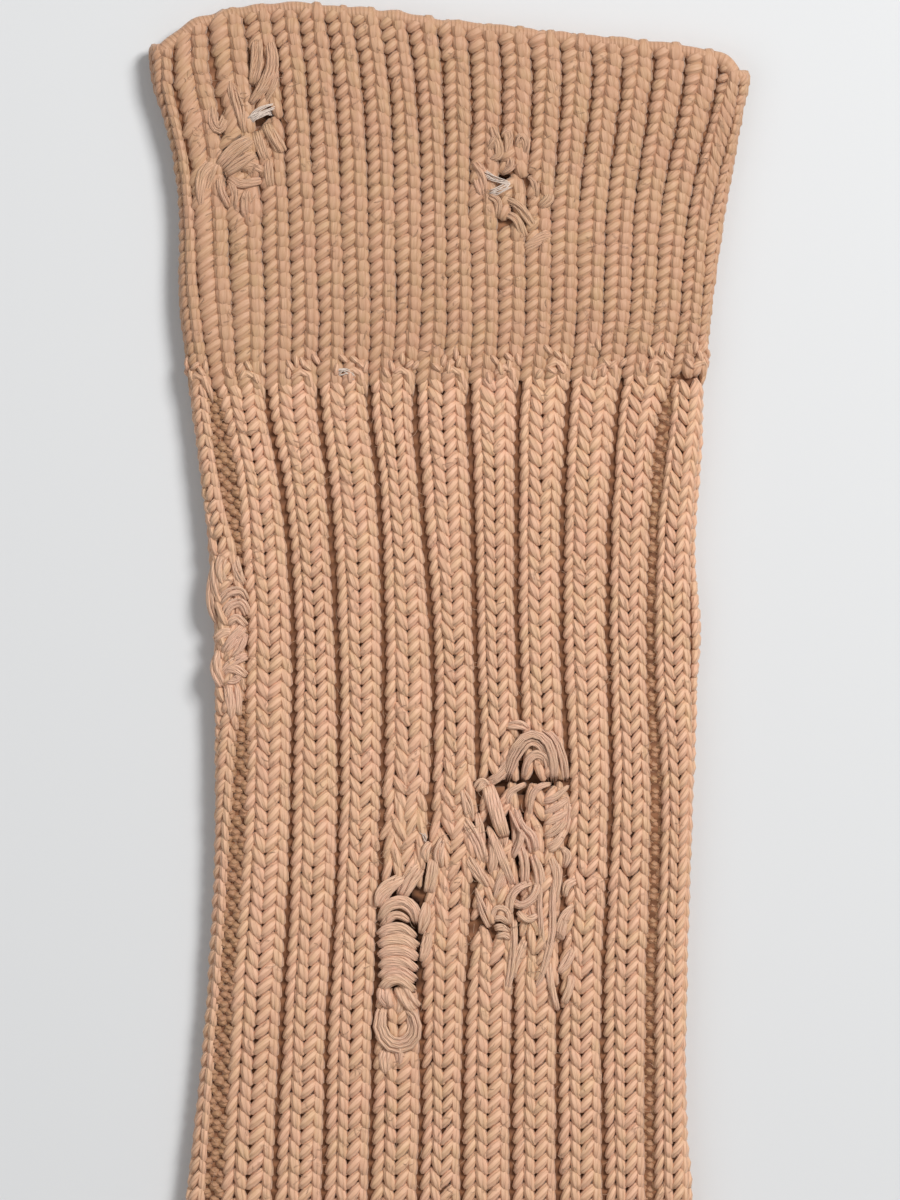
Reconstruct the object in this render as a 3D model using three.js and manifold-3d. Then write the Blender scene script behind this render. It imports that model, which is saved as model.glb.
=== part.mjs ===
// A worn knitted sock, lying flat on a surface.
//
// The sock is one knitted tube: a wide cuff, a long ribbed leg, a heel, an instep, a sole and a
// toe. Laid out, its front and back panels lie on each other, so every piece below is a wall of
// knit that runs round the flattened tube, with a thin slit left inside it. Millimetres, +Z up.
// +Y points from the toe end towards the cuff, and the underside lies on Z = 0.

import * as THREE from "three";
import { mergeVertices } from "three/addons/utils/BufferGeometryUtils.js";
import Module from "manifold-3d";

// ---- Driving dimensions ----

const WALL = 3.0; // thickness of the rib knit
const SLIT = 0.6; // space between the front and back panels
const SEAM = 0.3; // space between two pieces where they meet
const THICKNESS = 2 * WALL + SLIT; // both panels together
const FOLD_RADIUS = THICKNESS / 2;
const FOLD_STEPS = 6; // facets round a fold

const JOIN_DOWN = 69.0; // from the top of the cuff down to the row where the leg starts
const JOIN_RISE = 2.5; // that row climbs this much from left to right
const ANKLE_DOWN = 222.0; // from the top of the cuff down to the row where the heel starts
const LEG_ROW_STEP = 8.0; // distance between two rings of facets

const FOOT_ANGLE = THREE.MathUtils.degToRad(25); // the foot points left and this much down
const FOOT_WIDTH = 86.0; // instep fold to sole fold, laid flat
const TOE_WIDTH = 80.0; // the same where the toe starts
const FOOT_LENGTH = 80.0; // straight stretch between the heel and the toe
const TOE_LENGTH = 44.0;
const TOE_TIP_WIDTH = 30.0; // the grafted end of the toe
const TOE_FULLNESS = 2.4; // 2 would be a true ellipse
const SOLE_SHARE = 0.5; // where instep and sole meet, as a share of the foot's width

const PLEAT_FROM_EDGE = 8.0; // the deep furrow beside each edge rib
const PLEAT_HALF_WIDTH = 2.6;
const PLEAT_DEPTH = 1.3;

// The cuff's top edge, as [share of the width, millimetres below the highest point].
const RIM_POINTS = [
  [0, 10.0], [0.02, 6.6], [0.07, 3.8], [0.19, 0.5], [0.36, 1.2], [0.5, 3.3], [0.75, 6.4], [0.93, 8.8],
  [0.98, 10.8], [1, 14.0],
];

// The left and right folds of the leg, as [millimetres below the highest point, X].
const LEFT_FOLD = [
  [8, -54.2], [36, -49.0], [68, -47.0], [90, -44.5], [125, -42.6], [153, -42.3], [189, -44.5],
  [222, -48.2],
];
const RIGHT_FOLD = [
  [14, 54.4], [36, 50.2], [63, 46.4], [81, 45.6], [99, 44.4], [125, 44.7], [171, 43.2], [201, 43.0],
  [222, 44.5],
];

// Worn-through places in the upper panel, as [X, Y from the top, half width, half height].
const CUFF_HOLES = [
  [-33.6, -21.2, 2.8, 2.0],
  [9.2, -33.2, 2.4, 2.2],
];
const LEG_HOLES = [
  [12.6, -140.0, 6.2, 2.8],
  [11.4, -151.0, 4.4, 4.6],
  [-8.8, -169.0, 3.4, 11.2],
];
const HOLE_SIDES = 12;

// ---- Yarn colour ----

function yarn(name, colour) {
  const material = new THREE.MeshStandardMaterial({ color: colour, roughness: 0.85, metalness: 0 });
  material.name = name;
  return material;
}

// ---- Plan curves ----

// A smooth curve through hand-placed points [place, value], read off as value at a place.
function smoothTable(points) {
  const curve = new THREE.SplineCurve(points.map(([place, value]) => new THREE.Vector2(place, value)));
  const samples = curve.getPoints(points.length * 12);
  return (place) => {
    const last = samples.length - 1;
    if (place <= samples[0].x) return samples[0].y;
    if (place >= samples[last].x) return samples[last].y;
    const next = samples.findIndex((sample) => sample.x >= place);
    const from = samples[next - 1];
    const to = samples[next];
    return THREE.MathUtils.mapLinear(place, from.x, to.x, from.y, to.y);
  };
}

const rimDown = smoothTable(RIM_POINTS);
const leftFold = smoothTable(LEFT_FOLD);
const rightFold = smoothTable(RIGHT_FOLD);
const joinDown = (share) => JOIN_DOWN - JOIN_RISE * share;
const ankleDown = () => ANKLE_DOWN;

// A point of the plan on a row that hangs at height down(share) between the two folds.
function tubePoint(down, share) {
  const depth = down(share);
  const x = THREE.MathUtils.lerp(leftFold(down(0)), rightFold(down(1)), share);
  return new THREE.Vector2(x, -depth);
}

const toeward = new THREE.Vector2(-Math.cos(FOOT_ANGLE), -Math.sin(FOOT_ANGLE));
const soleward = new THREE.Vector2(Math.sin(FOOT_ANGLE), -Math.cos(FOOT_ANGLE));
const instepAtAnkle = new THREE.Vector2(leftFold(ANKLE_DOWN), -ANKLE_DOWN);
const heelAtAnkle = new THREE.Vector2(rightFold(ANKLE_DOWN), -ANKLE_DOWN);
const instepAtFoot = instepAtAnkle.clone().add(new THREE.Vector2(-23.8, -35));
const soleAtFoot = instepAtFoot.clone().addScaledVector(soleward, FOOT_WIDTH);

// The bend of the instep, and the round of the heel behind it.
const instepBend = new THREE.CubicBezierCurve(
  instepAtAnkle,
  instepAtAnkle.clone().add(new THREE.Vector2(-2, -18)),
  instepAtFoot.clone().addScaledVector(toeward, -14),
  instepAtFoot,
);
const heelRound = new THREE.CubicBezierCurve(
  heelAtAnkle,
  heelAtAnkle.clone().add(new THREE.Vector2(10.5, -90)),
  soleAtFoot.clone().addScaledVector(toeward, -89),
  soleAtFoot,
);

function bendPoint(turn, share) {
  return instepBend.getPoint(turn).lerp(heelRound.getPoint(turn), share);
}

// A point on a straight row across the foot, so far along it from the heel.
function acrossFoot(along, width, share) {
  return instepAtFoot.clone()
    .addScaledVector(toeward, along)
    .addScaledVector(soleward, FOOT_WIDTH / 2 + (share - 0.5) * width);
}

function footPoint(along, share) {
  const width = THREE.MathUtils.lerp(FOOT_WIDTH, TOE_WIDTH, along / FOOT_LENGTH);
  return acrossFoot(along, width, share);
}

// The toe narrows like a quarter of a full ellipse, down to its grafted end.
function toePoint(along, share) {
  const narrowing = Math.sqrt(Math.max(0, 1 - (along / TOE_LENGTH) ** TOE_FULLNESS));
  const width = THREE.MathUtils.lerp(TOE_TIP_WIDTH, TOE_WIDTH, narrowing);
  return acrossFoot(FOOT_LENGTH + along, width, share);
}

// ---- Sections of the flattened tube ----
// A section is a list of [distance from the left fold, height], once for the outside and once,
// point for point, for the inside of the wall.

function foldArc(centre, radius, fromAngle, toAngle, height) {
  return Array.from({ length: FOLD_STEPS + 1 }, (_, step) => {
    const angle = THREE.MathUtils.lerp(fromAngle, toAngle, step / FOLD_STEPS);
    return [centre + radius * Math.cos(angle), height + radius * Math.sin(angle)];
  });
}

// Where a section has points between its folds, as [distance from the left fold, dip].
function plainPlaces(width, count) {
  return Array.from({ length: count }, (_, step) => [(width * (step + 1)) / (count + 1), 0]);
}

function pleatedPlaces(width) {
  const besideRight = width - PLEAT_FROM_EDGE;
  return [
    [PLEAT_FROM_EDGE - PLEAT_HALF_WIDTH, 0],
    [PLEAT_FROM_EDGE, PLEAT_DEPTH],
    [PLEAT_FROM_EDGE + PLEAT_HALF_WIDTH, 0],
    [0.5 * width, 0],
    [besideRight - PLEAT_HALF_WIDTH, 0],
    [besideRight, PLEAT_DEPTH],
    [besideRight + PLEAT_HALF_WIDTH, 0],
  ];
}

const HALF_TURN = Math.PI / 2;

// The whole tube: along the lower panel, round the right fold, back along the upper panel, where
// the pleats dip, and round the left fold.
function tubeSection(places) {
  return (width) => {
    const slit = SLIT / 2;
    const across = places(width);
    const right = (radius) => foldArc(width - FOLD_RADIUS, radius, -HALF_TURN, HALF_TURN, FOLD_RADIUS);
    const left = (radius) => foldArc(FOLD_RADIUS, radius, HALF_TURN, 3 * HALF_TURN, FOLD_RADIUS);
    const back = [...across].reverse();
    const outer = [
      ...across.map(([place]) => [place, 0]),
      ...right(FOLD_RADIUS),
      ...back.map(([place, dip]) => [place, THICKNESS - dip]),
      ...left(FOLD_RADIUS),
    ];
    const inner = [
      ...across.map(([place]) => [place, WALL]),
      ...right(slit),
      ...back.map(([place]) => [place, THICKNESS - WALL]),
      ...left(slit),
    ];
    return { outer, inner, closed: true };
  };
}

const CUFF_PLACES = 11;
const TOE_PLACES = 5;
const cuffSection = tubeSection((width) => plainPlaces(width, CUFF_PLACES));
const legSection = tubeSection(pleatedPlaces);
const toeSection = tubeSection((width) => plainPlaces(width, TOE_PLACES));

// Half of the tube, from its cut edge in the lower panel, round the fold, to the upper panel.
function halfSection(width, cut, onRight) {
  const slit = SLIT / 2;
  const middle = onRight ? (cut + width) / 2 : cut / 2;
  const arc = (radius) => (onRight
    ? foldArc(width - FOLD_RADIUS, radius, -HALF_TURN, HALF_TURN, FOLD_RADIUS)
    : foldArc(FOLD_RADIUS, radius, 3 * HALF_TURN, HALF_TURN, FOLD_RADIUS));
  const outer = [[cut, 0], [middle, 0], ...arc(FOLD_RADIUS), [middle, THICKNESS], [cut, THICKNESS]];
  const inner = [
    [cut, WALL], [middle, WALL], ...arc(slit), [middle, THICKNESS - WALL], [cut, THICKNESS - WALL],
  ];
  return { outer, inner, closed: false };
}

// ---- Closed walls ----

function signedVolume(points, faces) {
  const [a, b, c] = [new THREE.Vector3(), new THREE.Vector3(), new THREE.Vector3()];
  let volume = 0;
  for (let face = 0; face < faces.length; face += 3) {
    a.fromArray(points, 3 * faces[face]);
    b.fromArray(points, 3 * faces[face + 1]);
    c.fromArray(points, 3 * faces[face + 2]);
    volume += a.dot(b.cross(c)) / 6;
  }
  return volume;
}

function outwardGeometry(points, faces) {
  const insideOut = signedVolume(points, faces) < 0;
  const geometry = new THREE.BufferGeometry();
  geometry.setAttribute("position", new THREE.Float32BufferAttribute(points, 3));
  geometry.setIndex(insideOut ? faces.toReversed() : faces);
  return geometry;
}

// The triangles that close a toe section's loop, in upright strips from its right fold to its left.
function capFaces(count) {
  const rightmost = TOE_PLACES + FOLD_STEPS / 2;
  const at = (step) => (step + count) % count;
  const triangles = [];
  for (let step = 0; step < count / 2; step += 1) {
    const [a, b] = [at(rightmost - step), at(rightmost - step - 1)];
    const [c, d] = [at(rightmost + step + 1), at(rightmost + step)];
    if (b !== c) triangles.push([a, c, b]);
    if (a !== d) triangles.push([a, d, c]);
  }
  return triangles;
}

// Rings of a section carried along the plan. Each ring holds the section and width of its outside,
// with at(share), the plan point at a share of that width, and the same for its inside.
// With capped set, the last ring closes the tube off, outside and inside, as at a toe.
function wallGeometry(rings, capped = false) {
  const points = [];
  const faces = [];
  const { closed, outer } = rings[0].section;
  const count = outer.length;
  const put = (loop, width, at) => loop.forEach(([place, height]) => {
    const { x, y } = at(place / width);
    points.push(x, y, height);
  });
  for (const ring of rings) {
    put(ring.section.outer, ring.width, ring.at);
    put(ring.inside.inner, ring.insideWidth, ring.insideAt);
  }
  const outside = (ring, step) => (2 * ring) * count + (step % count);
  const inside = (ring, step) => (2 * ring + 1) * count + (step % count);
  const quad = (a, b, c, d) => faces.push(a, b, c, a, c, d);
  const steps = closed ? count : count - 1;
  const end = rings.length - 1;
  for (let step = 0; step < steps; step += 1) {
    const on = step + 1;
    for (let ring = 0; ring < end; ring += 1) {
      quad(outside(ring, step), outside(ring, on), outside(ring + 1, on), outside(ring + 1, step));
      quad(inside(ring, step), inside(ring + 1, step), inside(ring + 1, on), inside(ring, on));
    }
    quad(outside(0, step), inside(0, step), inside(0, on), outside(0, on));
    if (!capped) quad(outside(end, step), outside(end, on), inside(end, on), inside(end, step));
  }
  if (!closed) {
    for (let ring = 0; ring < end; ring += 1) {
      quad(outside(ring, 0), outside(ring + 1, 0), inside(ring + 1, 0), inside(ring, 0));
      const last = count - 1;
      quad(outside(ring, last), inside(ring, last), inside(ring + 1, last), outside(ring + 1, last));
    }
  }
  if (capped) {
    for (const [a, b, c] of capFaces(count)) {
      faces.push(outside(end, a), outside(end, b), outside(end, c));
      faces.push(inside(end, a), inside(end, c), inside(end, b));
    }
  }
  return outwardGeometry(points, faces);
}

// One ring whose outside and inside lie on the same row.
function plainRing(at, makeSection) {
  const width = at(0).distanceTo(at(1));
  const section = makeSection(width);
  return { section, inside: section, width, insideWidth: width, at, insideAt: at };
}

function spread(from, to, steps) {
  return Array.from({ length: steps + 1 }, (_, step) => THREE.MathUtils.lerp(from, to, step / steps));
}

// A stretch of tube between two rows, each given as down(share), trimmed by half a seam.
function tubeStretch(topRow, bottomRow, trimTop, makeSection) {
  const length = bottomRow(0.5) - topRow(0.5);
  const steps = Math.round(length / LEG_ROW_STEP);
  const rings = spread(0, 1, steps).map((portion) => {
    const trimmed = (share) => THREE.MathUtils.lerp(
      topRow(share) + trimTop,
      bottomRow(share) - SEAM / 2,
      portion,
    );
    return plainRing((share) => tubePoint(trimmed, share), makeSection);
  });
  return wallGeometry(rings);
}

// ---- Worn-through holes ----

const wasm = await Module();
wasm.setup();

function toSolid(geometry) {
  const bare = geometry.clone();
  bare.deleteAttribute("normal");
  bare.deleteAttribute("uv");
  const merged = mergeVertices(bare, 1e-4);
  return new wasm.Manifold(new wasm.Mesh({
    numProp: 3,
    vertProperties: new Float32Array(merged.attributes.position.array),
    triVerts: new Uint32Array(merged.index.array),
  }));
}

function fromSolid(solid) {
  const { vertProperties, triVerts } = solid.getMesh();
  const geometry = new THREE.BufferGeometry();
  geometry.setAttribute("position", new THREE.Float32BufferAttribute(vertProperties, 3));
  geometry.setIndex(Array.from(triVerts));
  return geometry;
}

// Each hole goes through the upper panel only, from the slit up.
function cutHoles(geometry, holes) {
  let cloth = toSolid(geometry);
  for (const [x, y, halfWidth, halfHeight] of holes) {
    const floor = WALL + SLIT / 2;
    const cutter = new THREE.CylinderGeometry(1, 1, THICKNESS, HOLE_SIDES);
    cutter.rotateX(HALF_TURN);
    cutter.scale(halfWidth, halfHeight, 1);
    cutter.translate(x, y, floor + THICKNESS / 2);
    cloth = cloth.subtract(toSolid(cutter));
  }
  return fromSolid(cloth);
}

// ---- The pieces ----

function makeCuff() {
  return cutHoles(tubeStretch(rimDown, joinDown, 0, cuffSection), CUFF_HOLES);
}

function makeLeg() {
  return cutHoles(tubeStretch(joinDown, ankleDown, SEAM / 2, legSection), LEG_HOLES);
}

const TURN_TRIM = 0.0035; // trims half a seam off the bend, where its rows are closest
const BEND_STEPS = 14;
const FOOT_STEPS = 7;
const TOE_STEPS = 9;

function makeHeel() {
  const rings = spread(TURN_TRIM, 1 - TURN_TRIM, BEND_STEPS).map((turn) => plainRing(
    (share) => bendPoint(turn, share),
    (width) => halfSection(width, SOLE_SHARE * width + SEAM / 2, true),
  ));
  return wallGeometry(rings);
}

function makeSole() {
  const rings = spread(SEAM / 2, FOOT_LENGTH - SEAM / 2, FOOT_STEPS).map((along) => plainRing(
    (share) => footPoint(along, share),
    (width) => halfSection(width, SOLE_SHARE * width + SEAM / 2, true),
  ));
  return wallGeometry(rings);
}

// The instep is knitted on from the leg's front half and runs over the bend to the toe.
function makeInstep() {
  const section = (width) => halfSection(width, SOLE_SHARE * width - SEAM / 2, false);
  const bend = spread(TURN_TRIM, 1, BEND_STEPS).map((turn) => plainRing(
    (share) => bendPoint(turn, share),
    section,
  ));
  const foot = spread(0, FOOT_LENGTH - SEAM / 2, FOOT_STEPS).slice(1).map((along) => plainRing(
    (share) => footPoint(along, share),
    section,
  ));
  return wallGeometry([...bend, ...foot]);
}

// The toe is a pocket: its inside ends one wall short of its outside.
function makeToe() {
  const rings = spread(0, 1, TOE_STEPS).map((portion) => {
    const outsideAlong = THREE.MathUtils.lerp(SEAM / 2, TOE_LENGTH, portion);
    const insideAlong = THREE.MathUtils.lerp(SEAM / 2, TOE_LENGTH - WALL, portion);
    const at = (share) => toePoint(outsideAlong, share);
    const insideAt = (share) => toePoint(insideAlong, share);
    const width = at(0).distanceTo(at(1));
    const insideWidth = insideAt(0).distanceTo(insideAt(1));
    return {
      section: toeSection(width),
      inside: toeSection(insideWidth),
      width,
      insideWidth,
      at,
      insideAt,
    };
  });
  return wallGeometry(rings, true);
}

// ---- Assembly ----

const ribYarn = yarn("rib_yarn", 0xc89b7d);
const plainYarn = yarn("plain_yarn", 0xc69878);

const pieces = {
  cuff: [makeCuff(), ribYarn],
  leg: [makeLeg(), ribYarn],
  instep: [makeInstep(), ribYarn],
  heel: [makeHeel(), plainYarn],
  sole: [makeSole(), plainYarn],
  toe: [makeToe(), plainYarn],
};

const sock = new THREE.Group();
for (const [name, [geometry, material]] of Object.entries(pieces)) {
  const mesh = new THREE.Mesh(geometry, material);
  mesh.name = name;
  sock.add(mesh);
}

// The origin is at the middle of the underside of the sock's box.
const box = new THREE.Box3().setFromObject(sock);
const middle = box.getCenter(new THREE.Vector3());
sock.position.set(-middle.x, -middle.y, -box.min.z);
sock.updateMatrixWorld(true);

export default sock;
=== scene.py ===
# %% [markdown]
# # A worn, ribbed sock
# The sock is knitted in one go: a 1x1 rib cuff, a 2x2 rib leg and instep, and heel, sole and toe in
# plain knit. Knit could be a flat wall with a bump texture, but from close by every stitch is a real
# piece of yarn, so here each stitch is a small mesh. They are all worked out at once as numpy arrays
# and laid on a thin backing cloth that has the shape of the flattened tube.

import bpy
import numpy as np
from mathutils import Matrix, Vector


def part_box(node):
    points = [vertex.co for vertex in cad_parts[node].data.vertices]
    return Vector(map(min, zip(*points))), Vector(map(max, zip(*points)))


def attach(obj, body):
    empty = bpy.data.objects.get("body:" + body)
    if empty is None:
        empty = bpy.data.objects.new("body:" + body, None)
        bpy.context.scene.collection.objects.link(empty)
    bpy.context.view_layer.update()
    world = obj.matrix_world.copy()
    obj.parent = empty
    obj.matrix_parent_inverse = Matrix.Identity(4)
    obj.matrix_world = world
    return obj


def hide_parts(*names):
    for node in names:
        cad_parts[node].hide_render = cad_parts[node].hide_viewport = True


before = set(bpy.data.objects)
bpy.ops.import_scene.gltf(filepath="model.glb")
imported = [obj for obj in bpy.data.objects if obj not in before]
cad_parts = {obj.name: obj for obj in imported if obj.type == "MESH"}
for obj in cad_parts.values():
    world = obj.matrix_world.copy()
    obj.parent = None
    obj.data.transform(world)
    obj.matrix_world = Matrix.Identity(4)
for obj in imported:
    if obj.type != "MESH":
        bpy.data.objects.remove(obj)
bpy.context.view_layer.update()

rng = np.random.default_rng(7)
MM = 0.001  # everything below is worked out in millimetres, and this turns it into metres

# %% [markdown]
# ## The plan of the sock
# Seen from above, the sock is an outline: the left fold, the right fold and the rim. A smooth curve
# through a few given points is enough for each. The plan's own origin is at the middle of the
# leg and at the height of the highest point of the rim, and "down" is measured from there.

# %% Smooth curves through given points
def smooth_table(points):
    """A function that reads a smooth curve through (place, value) points.

    Between two points the value is a cubic. Its slope at a point is that from the point's
    neighbours, so the curve has no corners."""
    places, values = np.array(points, float).T
    slopes = np.gradient(values, places)

    def read(place):
        place = np.clip(place, places[0], places[-1])
        index = np.clip(np.searchsorted(places, place) - 1, 0, len(places) - 2)
        step = places[index + 1] - places[index]
        t = (place - places[index]) / step
        start = (1 + 2 * t) * (1 - t) ** 2 * values[index] + t * (1 - t) ** 2 * step * slopes[index]
        end = t * t * (3 - 2 * t) * values[index + 1] - t * t * (1 - t) * step * slopes[index + 1]
        return start + end

    return read


def lerp(start, end, share):
    """The point at that share of the way from start to end."""
    return start + (end - start) * share


def turned(angle):
    """The unit vector (cos, sin) of an angle in degrees."""
    return np.array([np.cos(np.radians(angle)), np.sin(np.radians(angle))])


print("a smooth curve through (0, 0), (1, 1), (2, 0), at 0.5:", smooth_table([(0, 0), (1, 1), (2, 0)])(0.5))

# %% [markdown]
# ## Sizes
# The sizes are those that the CAD model was made with, in millimetres: the wall, the slit between the
# two panels, and where cuff, leg, foot and toe end. The outline is the CAD model's too, with softer
# corners at the rim. Stitches are thinner than the CAD model's wall, so along a fold they turn a
# little nearer to the outline than the wall does.

# %% Sizes of the sock
WALL = 3.0
SLIT = 0.6
THICKNESS = 2 * WALL + SLIT
FOLD = THICKNESS / 2  # radius of a fold's outside
THINNER = 0.65  # how much nearer to the outline the stitches turn
EDGE = FOLD - THINNER  # how far in from the outline a fold begins
JOIN_DOWN = 69.0  # left end of the row where the leg begins
JOIN_RISE = 2.5  # how much higher its right end lies
ANKLE_DOWN = 222.0
FOOT_ANGLE = 25.0  # how far below level the toe points, in degrees
FOOT_WIDTH = 86.0
TOE_WIDTH = 80.0
FOOT_LENGTH = 80.0
TOE_LENGTH = 44.0
TOE_TIP_WIDTH = 30.0
TOE_FULLNESS = 2.4

rim_down = smooth_table([
    (0, 11.0), (0.024, 7.8), (0.07, 3.8), (0.19, 0.5), (0.36, 1.2), (0.5, 3.3), (0.75, 6.4),
    (0.91, 8.5), (0.957, 10.1), (0.976, 12.4), (1, 14.5),
])
left_fold = smooth_table([
    (8, -54.2), (36, -49.0), (68, -47.0), (90, -44.5), (125, -42.6), (153, -42.3), (189, -44.5),
    (222, -48.2),
])
right_fold = smooth_table([
    (14, 54.4), (36, 50.2), (63, 46.4), (81, 45.6), (99, 44.4), (125, 44.7), (171, 43.2),
    (201, 43.0), (222, 44.5),
])

leg_low, leg_high = (np.array(corner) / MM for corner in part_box("leg"))
PLAN_ORIGIN = np.array([
    leg_low[0] - left_fold(ANKLE_DOWN),
    leg_high[1] + JOIN_DOWN - JOIN_RISE,
])
TABLE = leg_low[2]
print("plan origin in the frame, mm:", PLAN_ORIGIN.round(2))
print(f"ankle {right_fold(ANKLE_DOWN) - left_fold(ANKLE_DOWN):.1f} mm wide, sock {THICKNESS:.1f} mm thick")

# %% [markdown]
# ## Rows across the tube
# Every row of knit crosses the flattened tube from the left fold to the right one. Each stretch of
# the sock has its own rule, called a plan, for where row number "row" lies: nearly level on the cuff
# and leg, fanned round the bend of the ankle, and straight again on the foot. A plan takes arrays and
# returns arrays, so thousands of stitches are placed in one call.

# %% Rows of the cuff and the leg
CUFF_ROWS = 30
LEG_ROWS = 61
ROW_GROWTH = 0.1  # share by which the leg's first row is shorter than the mean, and its last taller
LEFT_BULGES = ((1.3, 17, 8), (1.0, 53, 11))  # how far out, how far down, and how far they reach
RIGHT_BULGES = ((0.8, 112, 8),)


def join_down(share):
    """Height of the row where the leg begins: a straight line that rises to the right."""
    return JOIN_DOWN - JOIN_RISE * share


def bell(place, middle, reach):
    """A smooth bump that is 1 at its middle and has died away two reaches from it."""
    return np.exp(-((place - middle) / reach) ** 2)


def between_folds(down_of, share):
    """Plan points at a share of the way across a row whose height is down_of(share).

    The soft cloth bulges a little past its smooth outline in three places: below the left corner of
    the rim, just above the left end of the join, and half-way down the right fold."""
    left_down, right_down = down_of(0), down_of(1)
    left, right = left_fold(left_down), right_fold(right_down)
    for out, middle, reach in LEFT_BULGES:
        left = left - out * bell(left_down, middle, reach)
    for out, middle, reach in RIGHT_BULGES:
        right = right + out * bell(right_down, middle, reach)
    return np.stack([lerp(left, right, share), -down_of(share)], axis=-1)


def cuff_plan(row, share):
    """Rows spread evenly from the rim to the row where the leg starts."""
    progress = row / CUFF_ROWS
    return between_folds(lambda at: lerp(rim_down(at), join_down(at), progress), share)


def leg_plan(row, share):
    """Rows from the join to the ankle, a little taller towards the ankle."""
    progress = row / LEG_ROWS
    progress = progress * (1 - ROW_GROWTH + ROW_GROWTH * progress)
    return between_folds(lambda at: lerp(join_down(at), ANKLE_DOWN, progress), share)


def report_rows(name, plan, count):
    """Print how tall a stretch's rows are, half-way across it."""
    first, last = plan(np.array([0.0, count]), 0.5)
    print(f"{name}: {count} rows of {np.linalg.norm(last - first) / count:.2f} mm in its middle")


report_rows("cuff", cuff_plan, CUFF_ROWS)
report_rows("leg", leg_plan, LEG_ROWS)

# %% [markdown]
# ## The bend of the ankle
# Seen flat, the bend is a fan. Its short side is the fold of the instep and its long side the round
# of the heel, both smooth curves with four control points. They leave the ankle downwards and reach
# the foot in the foot's own direction, and a row is a straight line from one to the other.

# %% Rows round the bend
BEND_ROWS = 30
FOOT_START = [-23.8, -35]  # from the instep's end of the ankle to its end of the foot
INSTEP_LEAVES, INSTEP_ARRIVES = [-2, -18], 14  # from each end of the curve to its control point
HEEL_LEAVES, HEEL_ARRIVES = [10.5, -90], 89


def bezier(corners, t):
    """Points of a cubic Bezier curve with those four control points."""
    weights = [(1 - t) ** 3, 3 * t * (1 - t) ** 2, 3 * t * t * (1 - t), t ** 3]
    return sum(weight[..., None] * corner for weight, corner in zip(weights, corners))


toeward = turned(180 + FOOT_ANGLE)
soleward = turned(FOOT_ANGLE - 90)
instep_at_ankle = np.array([left_fold(ANKLE_DOWN), -ANKLE_DOWN])
heel_at_ankle = np.array([right_fold(ANKLE_DOWN), -ANKLE_DOWN])
instep_at_foot = instep_at_ankle + FOOT_START
sole_at_foot = instep_at_foot + FOOT_WIDTH * soleward
INSTEP_BEND = [
    instep_at_ankle, instep_at_ankle + INSTEP_LEAVES, instep_at_foot - INSTEP_ARRIVES * toeward,
    instep_at_foot,
]
HEEL_ROUND = [
    heel_at_ankle, heel_at_ankle + HEEL_LEAVES, sole_at_foot - HEEL_ARRIVES * toeward, sole_at_foot,
]


def bend_plan(row, share):
    """Rows fanned round the ankle, from the bend of the instep to the round of the heel."""
    turn = np.asarray(row / BEND_ROWS, float)
    share = np.asarray(share, float)[..., None]
    return lerp(bezier(INSTEP_BEND, turn), bezier(HEEL_ROUND, turn), share)


report_rows("bend", bend_plan, BEND_ROWS)

# %% [markdown]
# ## Foot and toe
# The foot's rows are parallel and a little narrower towards the toe. The toe's narrow faster and
# faster, like a rounded box, down to the grafted end, which is a short straight line.

# %% Rows of the foot and the toe
FOOT_ROWS = 32
TOE_ROWS = 17
TOE_NARROWED = 0.975  # share of the ellipse that the rows run along
TOE_STRAIGHT = TOE_LENGTH - EDGE  # the toe's rows up to where the cloth turns over the tip


def across_foot(along, width, share):
    """Plan points on a straight row across the foot, so far along it from the heel."""
    across = FOOT_WIDTH / 2 + (share - 0.5) * width
    return instep_at_foot + along[..., None] * toeward + across[..., None] * soleward


def foot_plan(row, share):
    """Straight rows across the foot, a little narrower towards the toe."""
    progress = np.asarray(row / FOOT_ROWS, float)
    return across_foot(FOOT_LENGTH * progress, lerp(FOOT_WIDTH, TOE_WIDTH, progress), share)


def instep_plan(row, share):
    """The bend's rows and then the foot's, as one run of rows."""
    row, share = np.broadcast_arrays(np.asarray(row, float), share)
    bend = bend_plan(np.minimum(row, BEND_ROWS), share)
    foot = foot_plan(np.maximum(row - BEND_ROWS, 0), share)
    return np.where((row > BEND_ROWS)[..., None], foot, bend)


def toe_plan(row, share):
    """Rows that narrow like a quarter of a full ellipse, down to the grafted end."""
    progress = np.clip(row / TOE_ROWS, 0, 1)
    narrowing = np.sqrt(1 - (TOE_NARROWED * progress) ** TOE_FULLNESS)
    width = lerp(TOE_TIP_WIDTH, TOE_WIDTH, narrowing)
    return across_foot(FOOT_LENGTH + TOE_STRAIGHT * progress, width, share)


report_rows("foot", foot_plan, FOOT_ROWS)
report_rows("toe", toe_plan, TOE_ROWS)

# %% [markdown]
# ## Round the flattened tube
# A point on the tube is given by its row, its distance round the tube and its height above the
# tube's middle plane. Round the tube means along the upper panel, over the right fold, back along
# the lower panel, and over the left fold. On the panels "height" points straight up or down; over a
# fold it swings round like the hand of a clock, so stitches follow the fold with no special case.

# %% From tube coordinates to points
YARN_HEIGHT = 2.35  # middle of the stitches above the tube's middle plane
QUARTER = np.pi / 2 * YARN_HEIGHT  # distance round a quarter of a fold, along the stitches


def row_frame(plan, row):
    """Width of the row, and the unit vector from its left end to its right end."""
    row = np.asarray(row, float)
    across = plan(row, np.ones_like(row)) - plan(row, np.zeros_like(row))
    width = np.linalg.norm(across, axis=-1)
    return width, across / width[..., None]


def round_length(plan, row):
    """The whole way round the tube on a row, measured along its stitches."""
    width, _ = row_frame(plan, row)
    return 2 * (width - 2 * EDGE) + 4 * QUARTER


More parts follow.
